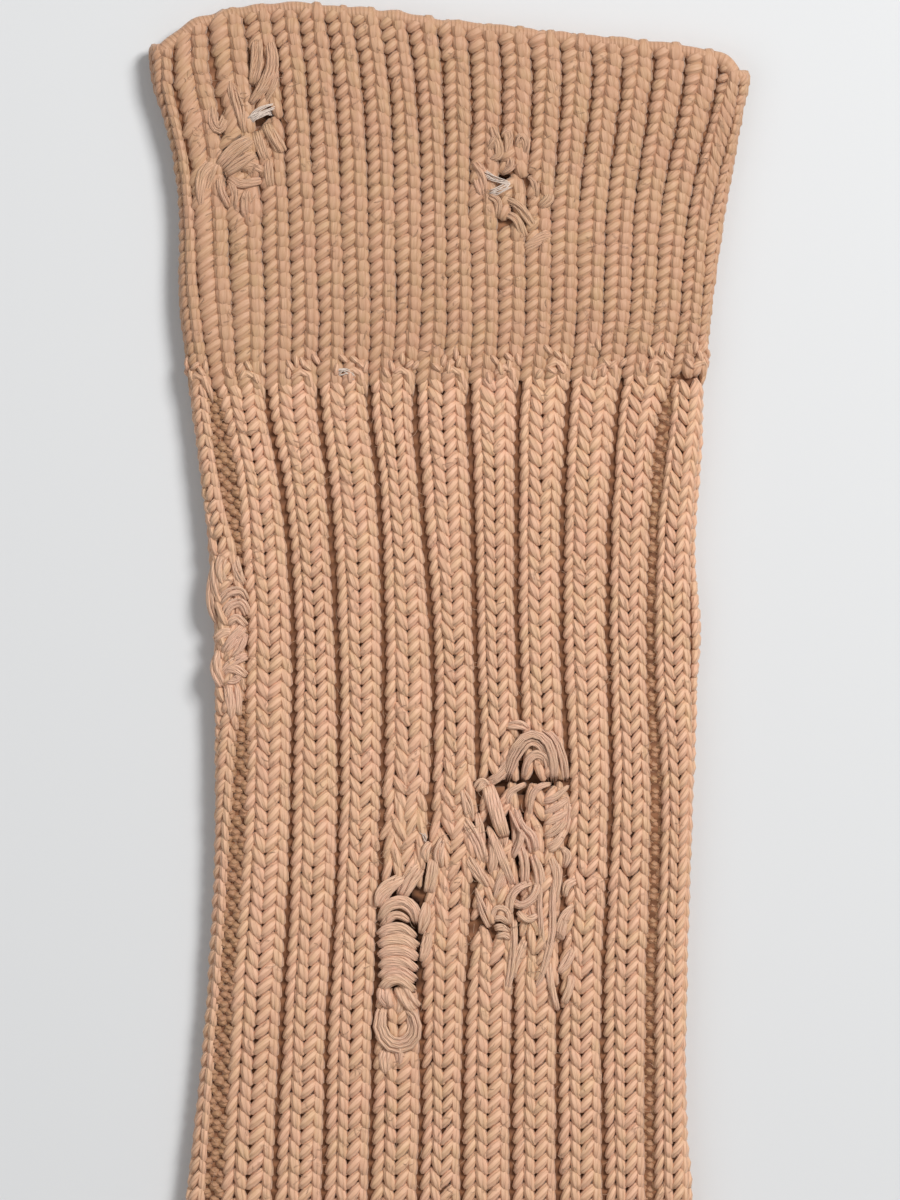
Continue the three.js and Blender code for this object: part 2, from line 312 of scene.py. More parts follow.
def on_tube(plan, row, around, height):
    """Points and outward directions at (row, distance round the tube, height).

    The distance is split into a quarter fold, the upper panel, the right fold, the lower panel and
    another quarter fold. Panels move the foot of the point, folds turn its direction. Rows past the
    end of the toe turn the direction towards the tip, which closes the toe."""
    row, around, height = np.broadcast_arrays(np.asarray(row, float), around, height)
    width, across = row_frame(plan, row)
    flat = width - 2 * EDGE
    around = np.mod(around, 2 * flat + 4 * QUARTER)
    first = np.clip(around, 0, QUARTER)
    upper = np.clip(around - QUARTER, 0, flat)
    over = np.clip(around - QUARTER - flat, 0, 2 * QUARTER)
    lower = np.clip(around - 3 * QUARTER - flat, 0, flat)
    last = np.clip(around - 3 * QUARTER - 2 * flat, 0, QUARTER)
    angle = (first + over + last) / YARN_HEIGHT
    foot = plan(row, (EDGE + upper - lower) / width)
    sideways = (-np.cos(angle))[..., None] * across
    outward = np.concatenate([sideways, np.sin(angle)[..., None]], axis=-1)
    if plan is toe_plan:
        past = np.maximum(row - TOE_ROWS, 0) * TOE_STRAIGHT / TOE_ROWS / YARN_HEIGHT
        tipward = np.append(toeward, 0.0)
        outward = np.cos(past)[..., None] * outward + np.sin(past)[..., None] * tipward
    ground = np.concatenate([foot + PLAN_ORIGIN, np.full_like(foot[..., :1], TABLE + FOLD)], axis=-1)
    return ground + height[..., None] * outward, outward


for name, plan in (("rim", cuff_plan), ("leg", leg_plan), ("foot", foot_plan)):
    print(f"{name}: {round_length(plan, 0.0):.1f} mm round, along the stitches")

# %% [markdown]
# ## Where the ribs run
# The furrows between ribs aren't evenly spaced: the one beside the left fold has pulled open, and
# the ribs lean where the cuff widens. Three furrows are given one by one and the others are spread
# between them. "Rib" is a coordinate round the tube that is a whole number in each furrow of the
# leg, so 0 to 11 is the upper panel and 11 to 22 the lower one. On the cuff each rib is two wales.

# %% Furrows
RIBS = 22
PANEL_RIBS = 11
RIB_PITCH = 7.7  # round the folds
first_furrow = smooth_table([
    (10.8, -50.0), (25, -47.3), (54, -45.4), (72, -42.8), (86, -40.4), (108, -37.2), (140, -38.0),
    (190, -41.2), (211, -42.5), (222, -43.0),
])
second_furrow = smooth_table([
    (0, -37.4), (20, -34.8), (54, -33.4), (72, -33.3), (86, -30.8), (108, -28.7), (144, -28.8),
    (190, -30.5), (222, -32.0),
])
last_furrow = smooth_table([
    (10.8, 48.4), (36, 43.2), (60, 41.2), (72, 39.0), (86, 37.0), (108, 35.7), (144, 37.2),
    (180, 35.9), (222, 36.6),
])
furrow_bunching = smooth_table([(0, 0.14), (35, 0.05), (65, 0.0), (222, 0.0)])
FURROW_WAVES = ((31, 2.3), (13, 4.1))  # length of a wave over 2 pi in mm, and its shift per furrow
FURROW_WANDER = 0.22  # how far a furrow wanders from its place, in mm
furrow_wander = rng.normal(0, FURROW_WANDER, (RIBS + 1, 5))  # a column to a wave, and some spare


def furrow_x(furrow, down):
    """X of a furrow of the upper panel, with two slow waves added.

    The first, second and last are placed, and the rest are spread between the second and the last,
    bunched to the left near the rim."""
    t = (furrow - 2) / (PANEL_RIBS - 3)
    spread = t + furrow_bunching(down) * t * (t - 1)
    x = lerp(second_furrow(down), last_furrow(down), spread)
    wave = sum(
        np.sin(down / length + shift * furrow) * furrow_wander[furrow, number]
        for number, (length, shift) in enumerate(FURROW_WAVES))
    return np.where(furrow <= 1, first_furrow(down), x) + wave


def furrow_around(plan, row, furrow):
    """Distance round the tube of a furrow of the upper panel on a row."""
    row = np.asarray(row, float)
    if plan in (cuff_plan, leg_plan):
        down = -plan(row, furrow / PANEL_RIBS)[..., 1]
        left = plan(row, np.zeros_like(row))[..., 0]
        return QUARTER + furrow_x(furrow, down) - left - EDGE
    width, _ = row_frame(plan, row)
    ankle_left, ankle_right = left_fold(ANKLE_DOWN), right_fold(ANKLE_DOWN)
    share = (furrow_x(furrow, np.full_like(row, ANKLE_DOWN)) - ankle_left) / (ankle_right - ankle_left)
    return QUARTER + share * width - EDGE


MID_LEG = 140.0
upper_furrows = np.arange(1, PANEL_RIBS)
print("furrows at mid leg, x in mm:", furrow_x(upper_furrows, np.full(PANEL_RIBS - 1, MID_LEG)).round(1))

# %% [markdown]
# ## Rib coordinates
# With the furrows placed, any point round the tube can be named by its rib coordinate, such as 3.5
# for the middle of the fourth rib. The lower panel is hidden, so there the ribs are evenly spaced.

# %% From rib coordinates to distances
def rib_around(plan, row, rib):
    """Distance round the tube of a rib coordinate, straight between two furrows."""
    row, rib = np.broadcast_arrays(np.asarray(row, float), np.asarray(rib, float))
    rib = np.mod(rib, RIBS)
    whole = np.floor(rib).astype(int)

    def furrow_at(furrow):
        """Distance round the tube of a whole furrow: placed above, evenly spread on the lower panel."""
        first = furrow_around(plan, row, np.ones_like(furrow)) - RIB_PITCH
        last = furrow_around(plan, row, np.full_like(furrow, PANEL_RIBS - 1)) + RIB_PITCH
        upper = furrow_around(plan, row, np.clip(furrow, 1, PANEL_RIBS - 1))
        back = (furrow - PANEL_RIBS) / PANEL_RIBS
        lower = lerp(last, first + round_length(plan, row), back)
        upper = np.where(furrow == 0, first, upper)
        return np.where(furrow >= PANEL_RIBS, lower, upper)

    return lerp(furrow_at(whole), furrow_at(whole + 1), rib - whole)


ends = rib_around(leg_plan, np.zeros(2), [PANEL_RIBS, RIBS - 1])
print(f"ribs of the lower panel are {(ends[1] - ends[0]) / (PANEL_RIBS - 1):.2f} mm apart")

# %% [markdown]
# ## From arrays to a mesh
# Every piece ends as one array of points and one array of triangles. foreach_set hands whole arrays
# to Blender, which is hundreds of times faster than adding faces one by one. Each corner carries a
# UV, with U along the yarn in millimetres and V once round it, and each point carries a "tone",
# a random number per stitch that the yarn's colour varies with.

# %% Mesh helper
def build_mesh(name, points, triangles, corner_uvs=None, tone=None):
    """A smooth-shaded object at the origin from points in millimetres and rows of three indices."""
    mesh = bpy.data.meshes.new(name)
    count = len(triangles)
    mesh.vertices.add(len(points))
    mesh.loops.add(3 * count)
    mesh.polygons.add(count)
    mesh.vertices.foreach_set("co", (points * MM).astype(np.float32).ravel())
    mesh.loops.foreach_set("vertex_index", triangles.astype(np.int32).ravel())
    mesh.polygons.foreach_set("loop_start", np.arange(0, 3 * count, 3, dtype=np.int32))
    mesh.polygons.foreach_set("use_smooth", np.ones(count, dtype=bool))
    if corner_uvs is not None:
        layer = mesh.uv_layers.new(name="yarn")
        layer.uv.foreach_set("vector", corner_uvs.astype(np.float32).ravel())
    if tone is not None:
        attribute = mesh.attributes.new("tone", "FLOAT", "POINT")
        attribute.data.foreach_set("value", tone.astype(np.float32))
    mesh.update()
    mesh.validate()
    piece = bpy.data.objects.new(name, mesh)
    bpy.context.scene.collection.objects.link(piece)
    print(f"{name}: {count} triangles")
    return piece


print("build_mesh is ready: it prints the name and triangles of each piece that it makes")

# %% [markdown]
# ## One length of yarn
# Each side of a stitch shows as a short length of yarn that comes up out of the cloth, swells and
# dips back under the next stitch. It could be one long tube looping through the whole sock, as the
# real yarn does, but most of that tube would be hidden. A spindle closed at both ends shows the
# same and costs a few dozen triangles. The same function makes long loose strands, with more rings.

# %% Triangles of one spindle
def spindle_template(rings, sides):
    """Triangles and corner UVs of one spindle: pole, rings, pole. U runs 0 to 1, V once round."""
    side = np.arange(sides)
    on = (side + 1) % sides
    triangles, uvs = [], []
    u = np.linspace(0, 1, rings + 2)

    def add(corners, us, vs):
        """One triangle for each side, from its three corners and their U and V."""
        triangles.append(np.stack(np.broadcast_arrays(*corners), axis=1))
        uvs.append(np.stack([
            np.stack([np.full(sides, value) for value in us], axis=1),
            np.stack([value / sides for value in vs], axis=1),
        ], axis=2))

    for ring in range(rings - 1):
        here, there = 1 + ring * sides, 1 + (ring + 1) * sides
        u0, u1 = u[ring + 1], u[ring + 2]
        add((here + side, here + on, there + on), (u0, u0, u1), (side, side + 1, side + 1))
        add((here + side, there + on, there + side), (u0, u1, u1), (side, side + 1, side))
    end = 1 + rings * sides
    last = end - sides
    add((np.zeros(sides, int), 1 + on, 1 + side), (u[0], u[1], u[1]), (side + 0.5, side + 1, side))
    add((np.full(sides, end), last + side, last + on), (u[-1], u[-2], u[-2]),
        (side + 0.5, side, side + 1))
    return np.concatenate(triangles), np.concatenate(uvs), end + 1


print("a spindle of 4 rings and 6 sides has", len(spindle_template(4, 6)[0]), "triangles")

# %% [markdown]
# ## Many spindles at once
# The triangles are the same for every spindle, so they are worked out once and repeated. Only the
# points differ: at each station of its path a ring is laid out square to the path, with one axis
# along the cloth and the other away from it.

# %% Rings carried along many paths
def spindles(path, outward, wide, high, sides, tone):
    """Points, triangles, corner UVs and tones of many spindles at once.

    path and outward are (count, stations, 3): the middle line of each spindle and the direction
    away from the cloth. wide and high are (count, stations - 2): half of the yarn's width and
    height at each ring. A ring is an ellipse in the plane square to the path."""
    count, stations, _ = path.shape
    rings = stations - 2
    triangles, uvs, size = spindle_template(rings, sides)
    ahead = np.gradient(path, axis=1)
    ahead /= np.linalg.norm(ahead, axis=2, keepdims=True)
    side_way = np.cross(ahead, outward)
    side_way /= np.linalg.norm(side_way, axis=2, keepdims=True)
    upward = np.cross(side_way, ahead)
    angle = 2 * np.pi * np.arange(sides) / sides
    middle = path[:, 1:-1, None, :]
    ring = (
        middle
        + wide[..., None, None] * np.cos(angle)[:, None] * side_way[:, 1:-1, None, :]
        + high[..., None, None] * np.sin(angle)[:, None] * upward[:, 1:-1, None, :]
    )
    points = np.concatenate(
        [path[:, :1], ring.reshape(count, rings * sides, 3), path[:, -1:]], axis=1)
    length = np.linalg.norm(np.diff(path, axis=1), axis=2).sum(axis=1)
    all_uvs = np.repeat(uvs[None], count, axis=0)
    all_uvs[..., 0] *= length[:, None, None]
    all_triangles = triangles[None] + size * np.arange(count)[:, None, None]
    return (
        points.reshape(-1, 3),
        all_triangles.reshape(-1, 3),
        all_uvs.reshape(-1, 3, 2),
        np.repeat(tone, size),
    )


def joined(parts):
    """One set of arrays from several, with the triangle indices moved on."""
    offset, triangles = 0, []
    for points, faces, _, _ in parts:
        triangles.append(faces + offset)
        offset += len(points)
    return (
        np.concatenate([part[0] for part in parts]),
        np.concatenate(triangles),
        np.concatenate([part[2] for part in parts]),
        np.concatenate([part[3] for part in parts]),
    )


straight = np.stack(np.broadcast_arrays(np.arange(6.0), 0.0, 0.0), axis=-1)[None]
trial = spindles(straight, np.array([0, 0, 1.0]), np.ones((1, 4)), np.ones((1, 4)), 6, np.zeros(1))
print("one straight spindle has", len(trial[0]), "points, and its U runs to", trial[2][..., 0].max(), "mm")

# %% [markdown]
# ## The two sides of a stitch
# The sock was knitted from the cuff down, so its stitches stand as an upside-down V. The yarn's own
# twist makes the two sides differ: the left side lies tilted and round like a bead, the right side
# is nearly upright, and one runs into the next as a smooth band. A kind of side is a few numbers.

# %% Kinds of stitch side
class Side:
    """One side of a stitch: where it stands in its wale and how it leans.

    place is its middle as a share of the wale or rib, lean how far its upper end is to the right of
    its lower end in mm, reach how many rows it covers, wide and high half its yarn in mm, tuck how
    far its upper end dips under the stitch above, and lift how far all of it is raised."""

    def __init__(self, place, lean, reach, wide, high, tuck, lift=0.0):
        self.place = place
        self.lean = lean
        self.reach = reach
        self.wide = wide
        self.high = high
        self.tuck = tuck
        self.lift = lift


CUFF_SIDES = [
    Side(place=0.29, lean=2.25, reach=1.45, wide=0.92, high=0.84, tuck=0.75, lift=0.05),
    Side(place=0.76, lean=-0.75, reach=1.95, wide=1.14, high=0.82, tuck=0.40, lift=-0.05),
]
RIB_SIDES = [
    Side(place=0.125, lean=1.55, reach=1.55, wide=0.84, high=0.80, tuck=0.75, lift=-0.28),
    Side(place=0.375, lean=-2.00, reach=1.65, wide=0.94, high=0.84, tuck=0.70, lift=0.05),
    Side(place=0.675, lean=2.25, reach=1.40, wide=0.94, high=0.86, tuck=0.75, lift=0.12),
    Side(place=0.905, lean=-1.30, reach=1.80, wide=0.90, high=0.82, tuck=0.65, lift=-0.20),
]
PLAIN_SIDES = [
    Side(place=0.27, lean=1.1, reach=1.0, wide=0.78, high=0.76, tuck=0.4),
    Side(place=0.73, lean=-1.0, reach=1.15, wide=0.78, high=0.76, tuck=0.35),
]

# Stations along a spindle, its fullness at the rings between, and its number of sides
FINE = dict(
    stations=np.array([0, 0.09, 0.36, 0.66, 0.91, 1]), swell=np.array([0.7, 1, 1, 0.7]), sides=6)
COARSE = dict(
    stations=np.array([0, 0.12, 0.5, 0.88, 1]), swell=np.array([0.75, 1.05, 0.75]), sides=5)
print("kinds of side: cuff", len(CUFF_SIDES), "rib", len(RIB_SIDES), "plain", len(PLAIN_SIDES))

# %% [markdown]
# ## Uneven stitches
# No two stitches of a real sock lie quite alike, and where it is slack they lie anyhow. So each
# measure of a stitch gets a random share, which grows with how slack the cloth is there. Purely
# random stitches look like noise, so the lean also drifts slowly from wale to wale and down a wale.

# %% One kind of side of many stitches
END_DIP = 0.3  # how far both ends of a side dip below its middle
SPREAD = dict(around=0.06, lean=0.10, reach=0.05, height=0.04, row=0.02, yarn=0.04)
SLACK_SPREAD = 3.2  # how many times more the cloth's slackest stitches spread
SLACK_REACH = 0.4  # share by which they reach further
SLACK_THINNER = 0.12  # share by which their yarn is thinner
LEAN_DRIFT = 0.16  # share by which the lean drifts
DRIFT_START, DRIFT_ROUND, DRIFT_ROWS, DRIFT_SLANT = 0.7, 1.9, 0.23, 0.3  # radians, per mm or row


def stitch_sides(
        plan, row, low_around, high_around, side, reach, stretch, slack, stations, swell, sides):
    """Spindles for one kind of side of many stitches.

    row is the middle of each stitch, low_around and high_around the two edges of its wale. The path
    runs from the side's upper end to its lower end, straight in tube coordinates, and its height is
    an arch that starts deeper, tucked under the stitch above. The drift of the lean is the product
    of a sine round the tube and a sine down the wale."""
    count = len(row)
    t = stations[None, :]
    wobble = (1 + SLACK_SPREAD * slack[:, None]) * rng.normal(0, 1, (5, count, 1))
    middle = lerp(low_around, high_around, side.place)[:, None] + SPREAD["around"] * wobble[0]
    drift = np.sin(DRIFT_ROUND * low_around + DRIFT_START)
    drift = drift * np.sin(DRIFT_ROWS * row + DRIFT_SLANT * low_around)
    leaning = 1 + LEAN_DRIFT * drift[:, None] + SPREAD["lean"] * wobble[1]
    lean = side.lean * stretch[:, None] * leaning
    reach = reach * (1 + SLACK_REACH * slack[:, None]) * (1 + SPREAD["reach"] * wobble[2])
    rows = row[:, None] + SPREAD["row"] * wobble[4] + reach * (t - 0.5)
    around = middle - lean * (t - 0.5)
    height = YARN_HEIGHT + side.lift - side.tuck * (1 - t) ** 2 - END_DIP * (2 * t - 1) ** 2
    height = height + SPREAD["height"] * wobble[3]
    path, outward = on_tube(plan, rows, around, height)
    fullness = 1 - SLACK_THINNER * slack[:, None] + SPREAD["yarn"] * rng.normal(0, 1, (count, 1))
    return spindles(
        path, outward, side.wide * stretch[:, None] * fullness * swell,
        side.high * fullness * swell, sides,
        rng.uniform(0, 1, count),
    )


print("spread of a sound stitch:", SPREAD)

# %% [markdown]
# ## The backing cloth
# Under the stitches lies a thin wall: the heads of the loops and the crossings that never show. It
# closes the piece, gives light nothing to leak through, and is the sheet of cloth itself. It is a
# grid in tube coordinates, once for the outside and once for the inside, and every edge where a
# grid cell has no neighbour, at a row's end or round a hole, is joined by a strip between the two.

# %% Wall from a grid of kept cells
def wall_triangles(kept, closed):
    """Triangles of a wall over the kept cells of a grid.

    Outer points come first, row by row, then the inner ones in the same order. A cell gives two
    triangles outside and two inside. A grid edge with a kept cell on one side only gives a strip."""
    rows, columns = kept.shape
    across = columns if closed else columns + 1
    layer = (rows + 1) * across

    def quads(a, b, c, d):
        """Two triangles for each set of four corners."""
        return np.concatenate([np.stack([a, b, c], axis=1), np.stack([a, c, d], axis=1)])

    def point(row, column):
        """Number of an outer point; the last column of a closed wall is followed by the first."""
        return row * across + column % across

    def strips(mask, row_step, column_step, forward):
        """Strips from the outer to the inner points along the grid edges in the mask."""
        row, column = np.nonzero(mask)
        a, b = point(row, column), point(row + row_step, column + column_step)
        a, b = (a, b) if forward else (b, a)
        return quads(a, b, b + layer, a + layer)

    row, column = np.nonzero(kept)
    corners = [
        point(row, column), point(row + 1, column), point(row + 1, column + 1), point(row, column + 1),
    ]
    missing_row = np.zeros((1, columns), bool)
    missing_column = np.zeros((rows, 1), bool)
    after, before = np.vstack([kept, missing_row]), np.vstack([missing_row, kept])
    if closed:
        right, left = kept, np.roll(kept, 1, axis=1)
    else:
        right, left = np.hstack([kept, missing_column]), np.hstack([missing_column, kept])
    return np.concatenate([
        quads(*corners),
        quads(*[corner + layer for corner in corners[::-1]]),
        strips(after & ~before, 0, 1, True),
        strips(before & ~after, 0, 1, False),
        strips(right & ~left, 1, 0, False),
        strips(left & ~right, 1, 0, True),
    ])


def drop_unused(points, triangles):
    """The same mesh without the points that no triangle uses."""
    used, renumbered = np.unique(triangles, return_inverse=True)
    return points[used], renumbered.reshape(triangles.shape)


print("a closed wall of 3 cells has", len(wall_triangles(np.ones((1, 3), bool), True)), "triangles")

# %% [markdown]
# ## Holes
# The sock is worn through in five places, all on the upper panel. The holes could be cut out of the
# finished meshes with a Boolean, but that would cut stitches in half. Instead, every stitch and
# every cell of the backing is asked whether it lies in a hole, and is left out if it does. A hole is
# an ellipse: x, down, half its width and half its height.

# %% Worn-through holes
UPWARD = 0.3  # outward directions that rise more than this belong to the upper panel
HOLES = np.array([
    (-33.6, 21.2, 2.8, 2.0),
    (9.2, 33.2, 2.4, 2.2),
    (12.6, 140.0, 6.2, 2.8),
    (11.4, 151.0, 4.4, 4.6),
    (-8.8, 169.0, 3.4, 11.2),
])


def from_spots(points, spots):
    """Plan vectors from each listed spot (x, down, ...) to each point."""
    plan = points[..., :2] - PLAN_ORIGIN
    return plan[..., None, :] - spots[:, :2] * [1, -1]


def worn_through(points, outward, margin=0.0):
    """True where a point of the upper panel lies in a hole, grown by margin millimetres."""
    offset = from_spots(points, HOLES) / (HOLES[:, 2:] + margin)
    return ((offset ** 2).sum(axis=-1) < 1).any(axis=-1) & (outward[..., 2] > UPWARD)


print("holes:", len(HOLES), "the largest", 2 * HOLES[:, 2:].max(), "mm long")

# %% [markdown]
# ## Slack cloth and missing stitches
# Round a snag the cloth is slack: its stitches lie unevenly and reach further. How slack it is falls
# off from the middle of each snag like a bell. Single stitches are missing as well, and the dark
# pinholes that they leave do much for the look of worn knit.

# %% Slack and missing stitches
OVERHANG = 0.7  # a stitch is left out when its middle is this far inside the edge of a hole
SLACK_FALLOFF = 1.4
# x, down, half the width and half the height of each slack place
SLACK = np.array([
    (6.0, 152.0, 16.0, 17.0),
    (16.0, 168.0, 8.0, 10.0),
    (-9.0, 150.0, 6.0, 14.0),
    (-38.0, 26.0, 7.0, 12.0),
    (10.5, 33.0, 6.0, 10.0),
    (-40.5, 111.0, 5.0, 13.0),
])
# x, down and radius of each place where a stitch is missing
PINHOLES = np.array([
    (6.2, 145.0, 1.3), (-4.4, 147.6, 1.0), (-4.9, 151.2, 1.2), (2.1, 140.7, 1.0), (21.1, 149.7, 1.1),
    (19.8, 162.0, 1.3), (19.8, 164.8, 1.2), (14.9, 167.1, 1.2), (19.8, 171.8, 1.1),
    (-4.4, 161.7, 1.1), (7.2, 166.6, 1.0), (-35.6, 22.9, 1.4), (-31.4, 20.6, 1.2),
    (-33.0, 34.7, 1.2), (9.6, 27.6, 1.0), (10.8, 30.9, 1.2), (9.4, 35.8, 1.3), (10.8, 40.6, 1.2),
    (-36.5, 116.0, 1.0), (44.0, 68.6, 1.5),
])


def slackness(points, outward):
    """From 0 in sound cloth to 1 in the middle of a snag, as a sum of bell shapes."""
    offset = from_spots(points, SLACK) / SLACK[:, 2:]
    bells = np.exp(-SLACK_FALLOFF * (offset ** 2).sum(axis=-1)).sum(axis=-1)
    return np.where(outward[..., 2] > UPWARD, np.minimum(bells, 1), 0)


def missing(points, outward):
    """True for stitches at a hole or a pinhole."""
    away = np.linalg.norm(from_spots(points, PINHOLES), axis=-1)
    at_pinhole = (away < PINHOLES[:, 2]).any(axis=-1) & (outward[..., 2] > UPWARD)
    return at_pinhole | worn_through(points, outward, margin=-OVERHANG)


print("slack places:", len(SLACK), "missing stitches:", len(PINHOLES))

# %% [markdown]
# ## The wall of one stretch
# Cuff, leg, heel, instep, sole and toe each get a wall of their own, because each stands for a part
# that a knitter works on its own. A stretch is a list of rows, and goes all round the tube or lies
# between two edges. Its cells are about 1.6 mm wide, small enough to follow a fold and a hole.

# %% Backing of one stretch
BACKING_OUTSIDE = 1.45  # height of its outside above the tube's middle plane
CUFF_BACKING_OUTSIDE = 1.85  # higher, because the cuff's stitches stand further apart
BACKING_INSIDE = 0.35


def backing(name, plan, rows, edges=None, outside=BACKING_OUTSIDE, step=1.6):
    """A closed wall over the given rows, all round the tube or between two edges.

    edges(row) gives the two distances round the tube between which an open wall lies."""
    rows = np.asarray(rows, float)
    longest = round_length(plan, rows).max()
    closed = edges is None
    low, high = (np.zeros_like(rows), round_length(plan, rows)) if closed else edges(rows)
    columns = int(np.ceil((longest if closed else (high - low).max()) / step))
    share = np.linspace(0, 1, columns + 1)[:columns + (not closed)]
    around = lerp(low[:, None], high[:, None], share[None, :])
    row = np.broadcast_to(rows[:, None], around.shape)
    outer, outward = on_tube(plan, row, around, outside)
    inner, _ = on_tube(plan, row, around, BACKING_INSIDE)
    following = np.roll(np.arange(around.shape[1]), -1)[:columns]
    middle = (outer[:-1, :columns] + outer[1:][:, following]) / 2
    kept = ~worn_through(middle, outward[:-1, :columns])
    points = np.concatenate([outer.reshape(-1, 3), inner.reshape(-1, 3)])
    points, triangles = drop_unused(points, wall_triangles(kept, closed))
    return build_mesh(name, points, triangles)


def spread_rows(first, last, step=0.62):
    """Evenly spread places from the first row to the last, at most a step apart."""
    return np.linspace(first, last, int(np.ceil((last - first) / step)) + 1)


print("the leg's backing has", len(spread_rows(0, LEG_ROWS)), "rows of points")

# %% [markdown]
# ## Where instep and sole meet
# Half of the tube's ribs run on over the instep, and the other half becomes plain knit at the heel.
# The two halves meet on the panels' middles, and each keeps a hair's breadth away from that line.

# %% Edges of the instep and of the heel and sole
INSTEP_RIB = 5.5  # the instep runs from this many ribs before the left fold to as many after it
SEAM = 0.15


def instep_edges(plan):
    """A function that gives a row's two edges of the instep, over the left fold."""
    def edges(row):
        low = rib_around(plan, row, -INSTEP_RIB) - round_length(plan, row)
        return low + SEAM, rib_around(plan, row, INSTEP_RIB) - SEAM
    return edges


def heel_edges(plan):
    """A function that gives a row's two edges of heel or sole, over the right fold."""
    def edges(row):
        low = rib_around(plan, row, INSTEP_RIB) + SEAM
        return low, rib_around(plan, row, RIBS - INSTEP_RIB) - SEAM
    return edges


low, high = instep_edges(foot_plan)(0.0)
print(f"the instep is {high - low:.1f} mm round where the foot begins")

# %% [markdown]
# ## The six backings
# The cuff's wall starts a little below the rim, which hides its edge. The toe's runs on a little
# past its last row: there the direction of the tube turns to the front, which closes the tip.

# %% Lay the six backings
RIM_START = 0.3  # row at which the cuff's wall starts
TIP_ROWS = 1.4  # rows that turn over the grafted end of the toe, from one panel to the other

backings = {
    "cuff": backing(
        "cuff_backing", cuff_plan, spread_rows(RIM_START, CUFF_ROWS), outside=CUFF_BACKING_OUTSIDE),
    "leg": backing("leg_backing", leg_plan, spread_rows(0, LEG_ROWS)),
    "heel": backing("heel_backing", bend_plan, spread_rows(0, BEND_ROWS), heel_edges(bend_plan)),
    "sole": backing("sole_backing", foot_plan, spread_rows(0, FOOT_ROWS), heel_edges(foot_plan)),
    "instep": backing(
        "instep_backing", instep_plan, spread_rows(0, BEND_ROWS + FOOT_ROWS),
        instep_edges(instep_plan)),
    "toe": backing("toe_backing", toe_plan, spread_rows(0, TOE_ROWS + TIP_ROWS)),
}


# %% [markdown]
# ## Knitting the stitches
# A wale is a column of stitches. Each call below names the wales and rows of one stretch, gets one
# array entry per stitch, and lays the two sides of every stitch in it. The lower panel and the foot
# are seen less closely, so their yarn has fewer sides.

# %% Widths of wales and furrows
CUFF_WIDTH = 3.75  # width of a wale at which its yarn has its own thickness
RIB_WIDTH = 6.8  # the same for a rib of two wales
PLAIN_WIDTH = 2.7
FURROW = 0.9  # width of a furrow of the instep
CUFF_FURROW = 0.2
CUFF_OPENING = 0.5  # how much wider the cuff's furrows are a little below the rim
OPENING_AT = (18, 12)  # how far down that is, and how far it reaches
WIDEST_WALE = 4.6  # cuff wales wider than this leave part of the width beyond it open
OPEN_SHARE = 0.2
# width of the leg's first furrow, of the others and of the last, at places down the leg
left_pull = smooth_table([
    (69, 2.4), (76, 3.4), (86, 3.6), (92, 2.8), (98, 1.5), (110, 1.2), (125, 1.3), (132, 2.6),
    (140, 3.0), (175, 3.2), (205, 3.5), (222, 3.2),
])
usual_pull = smooth_table([(69, 1.45), (110, 1.5), (140, 1.3), (222, 1.3)])
right_pull = smooth_table([
    (69, 0.9), (75, 2.8), (82, 2.9), (90, 2.4), (100, 2.1), (130, 2.4), (222, 2.3),
])


def all_pairs(rows, wales):
    """Every row with every wale, as two flat arrays, row by row."""
    row, wale = np.meshgrid(rows, wales, indexing="ij")
    return row.ravel(), wale.ravel()


def furrow_width(plan, row, furrow):
    """How wide the furrow is: the first and last ones of the leg's upper panel have pulled open."""
    if plan is not leg_plan:
        return np.full_like(row, FURROW)
    down = -plan(row, np.full_like(row, 0.5))[..., 1]
    width = np.where(furrow == 1, left_pull(down), usual_pull(down))
    return np.where(furrow == PANEL_RIBS - 1, right_pull(down), width)


print("width of the open furrow at mid leg:", left_pull(MID_LEG), "mm, of the others:", usual_pull(MID_LEG))

# %% [markdown]
# ## The edges of a wale
# A stitch fills its wale from one edge to the other. The edges follow from the rib coordinates of the
# furrows beside it, less half of each furrow's own width.

# %% Edges of wales and ribs
def wale_edges(plan, row, wale, ribs_of_two):
    """The two edges of a wale, half a furrow in from the rib coordinates that bound it.

    On the cuff a wale is half a rib with a furrow on each side. On the leg two wales share a rib,
    and the whole rib's edges are returned, because its four sides are spread over the rib."""
    if ribs_of_two:
        low, high = np.floor(wale / 2), np.floor(wale / 2) + 1
    else:
        low, high = wale / 2, (wale + 1) / 2
    low_edge, high_edge = rib_around(plan, row, low), rib_around(plan, row, high)
    high_edge = np.where(high_edge < low_edge, high_edge + round_length(plan, row), high_edge)
    if ribs_of_two:
        low_gap = furrow_width(plan, row, np.mod(low, RIBS))
        high_gap = furrow_width(plan, row, np.mod(high, RIBS))
        return low_edge + low_gap / 2, high_edge - high_gap / 2
    down = -cuff_plan(row, np.full_like(row, 0.5))[..., 1]
    gap = CUFF_FURROW + CUFF_OPENING * bell(down, *OPENING_AT)
    gap = gap + OPEN_SHARE * np.maximum(high_edge - low_edge - WIDEST_WALE, 0)
    return low_edge + gap / 2, high_edge - gap / 2


low, high = wale_edges(cuff_plan, np.full(2, CUFF_ROWS / 2), np.array([4, 12]), False)
print("two wales half-way down the cuff are", (high - low).round(2), "mm wide")

# %% [markdown]
# ## Laying the stitches of one stretch
# Cuff, rib and plain knit differ only in their kinds of side, in the width of a wale and in where the
# wales run, so one function lays them all and three short ones call it. Where a wale is wider than
# usual its yarn is widened with it, up to a limit, past which it would look like ribbon.

# %% Cuff, rib and plain knit
STRETCH_LIMITS = (0.85, 1.45)
RIB_STRETCH = 1.1  # ribs are never stretched wider than this, and leave open furrows instead
MID_ROW = 0.5
CUFF_SHIFT = 0.85  # the cuff's first row lies a little lower, clear of the rim


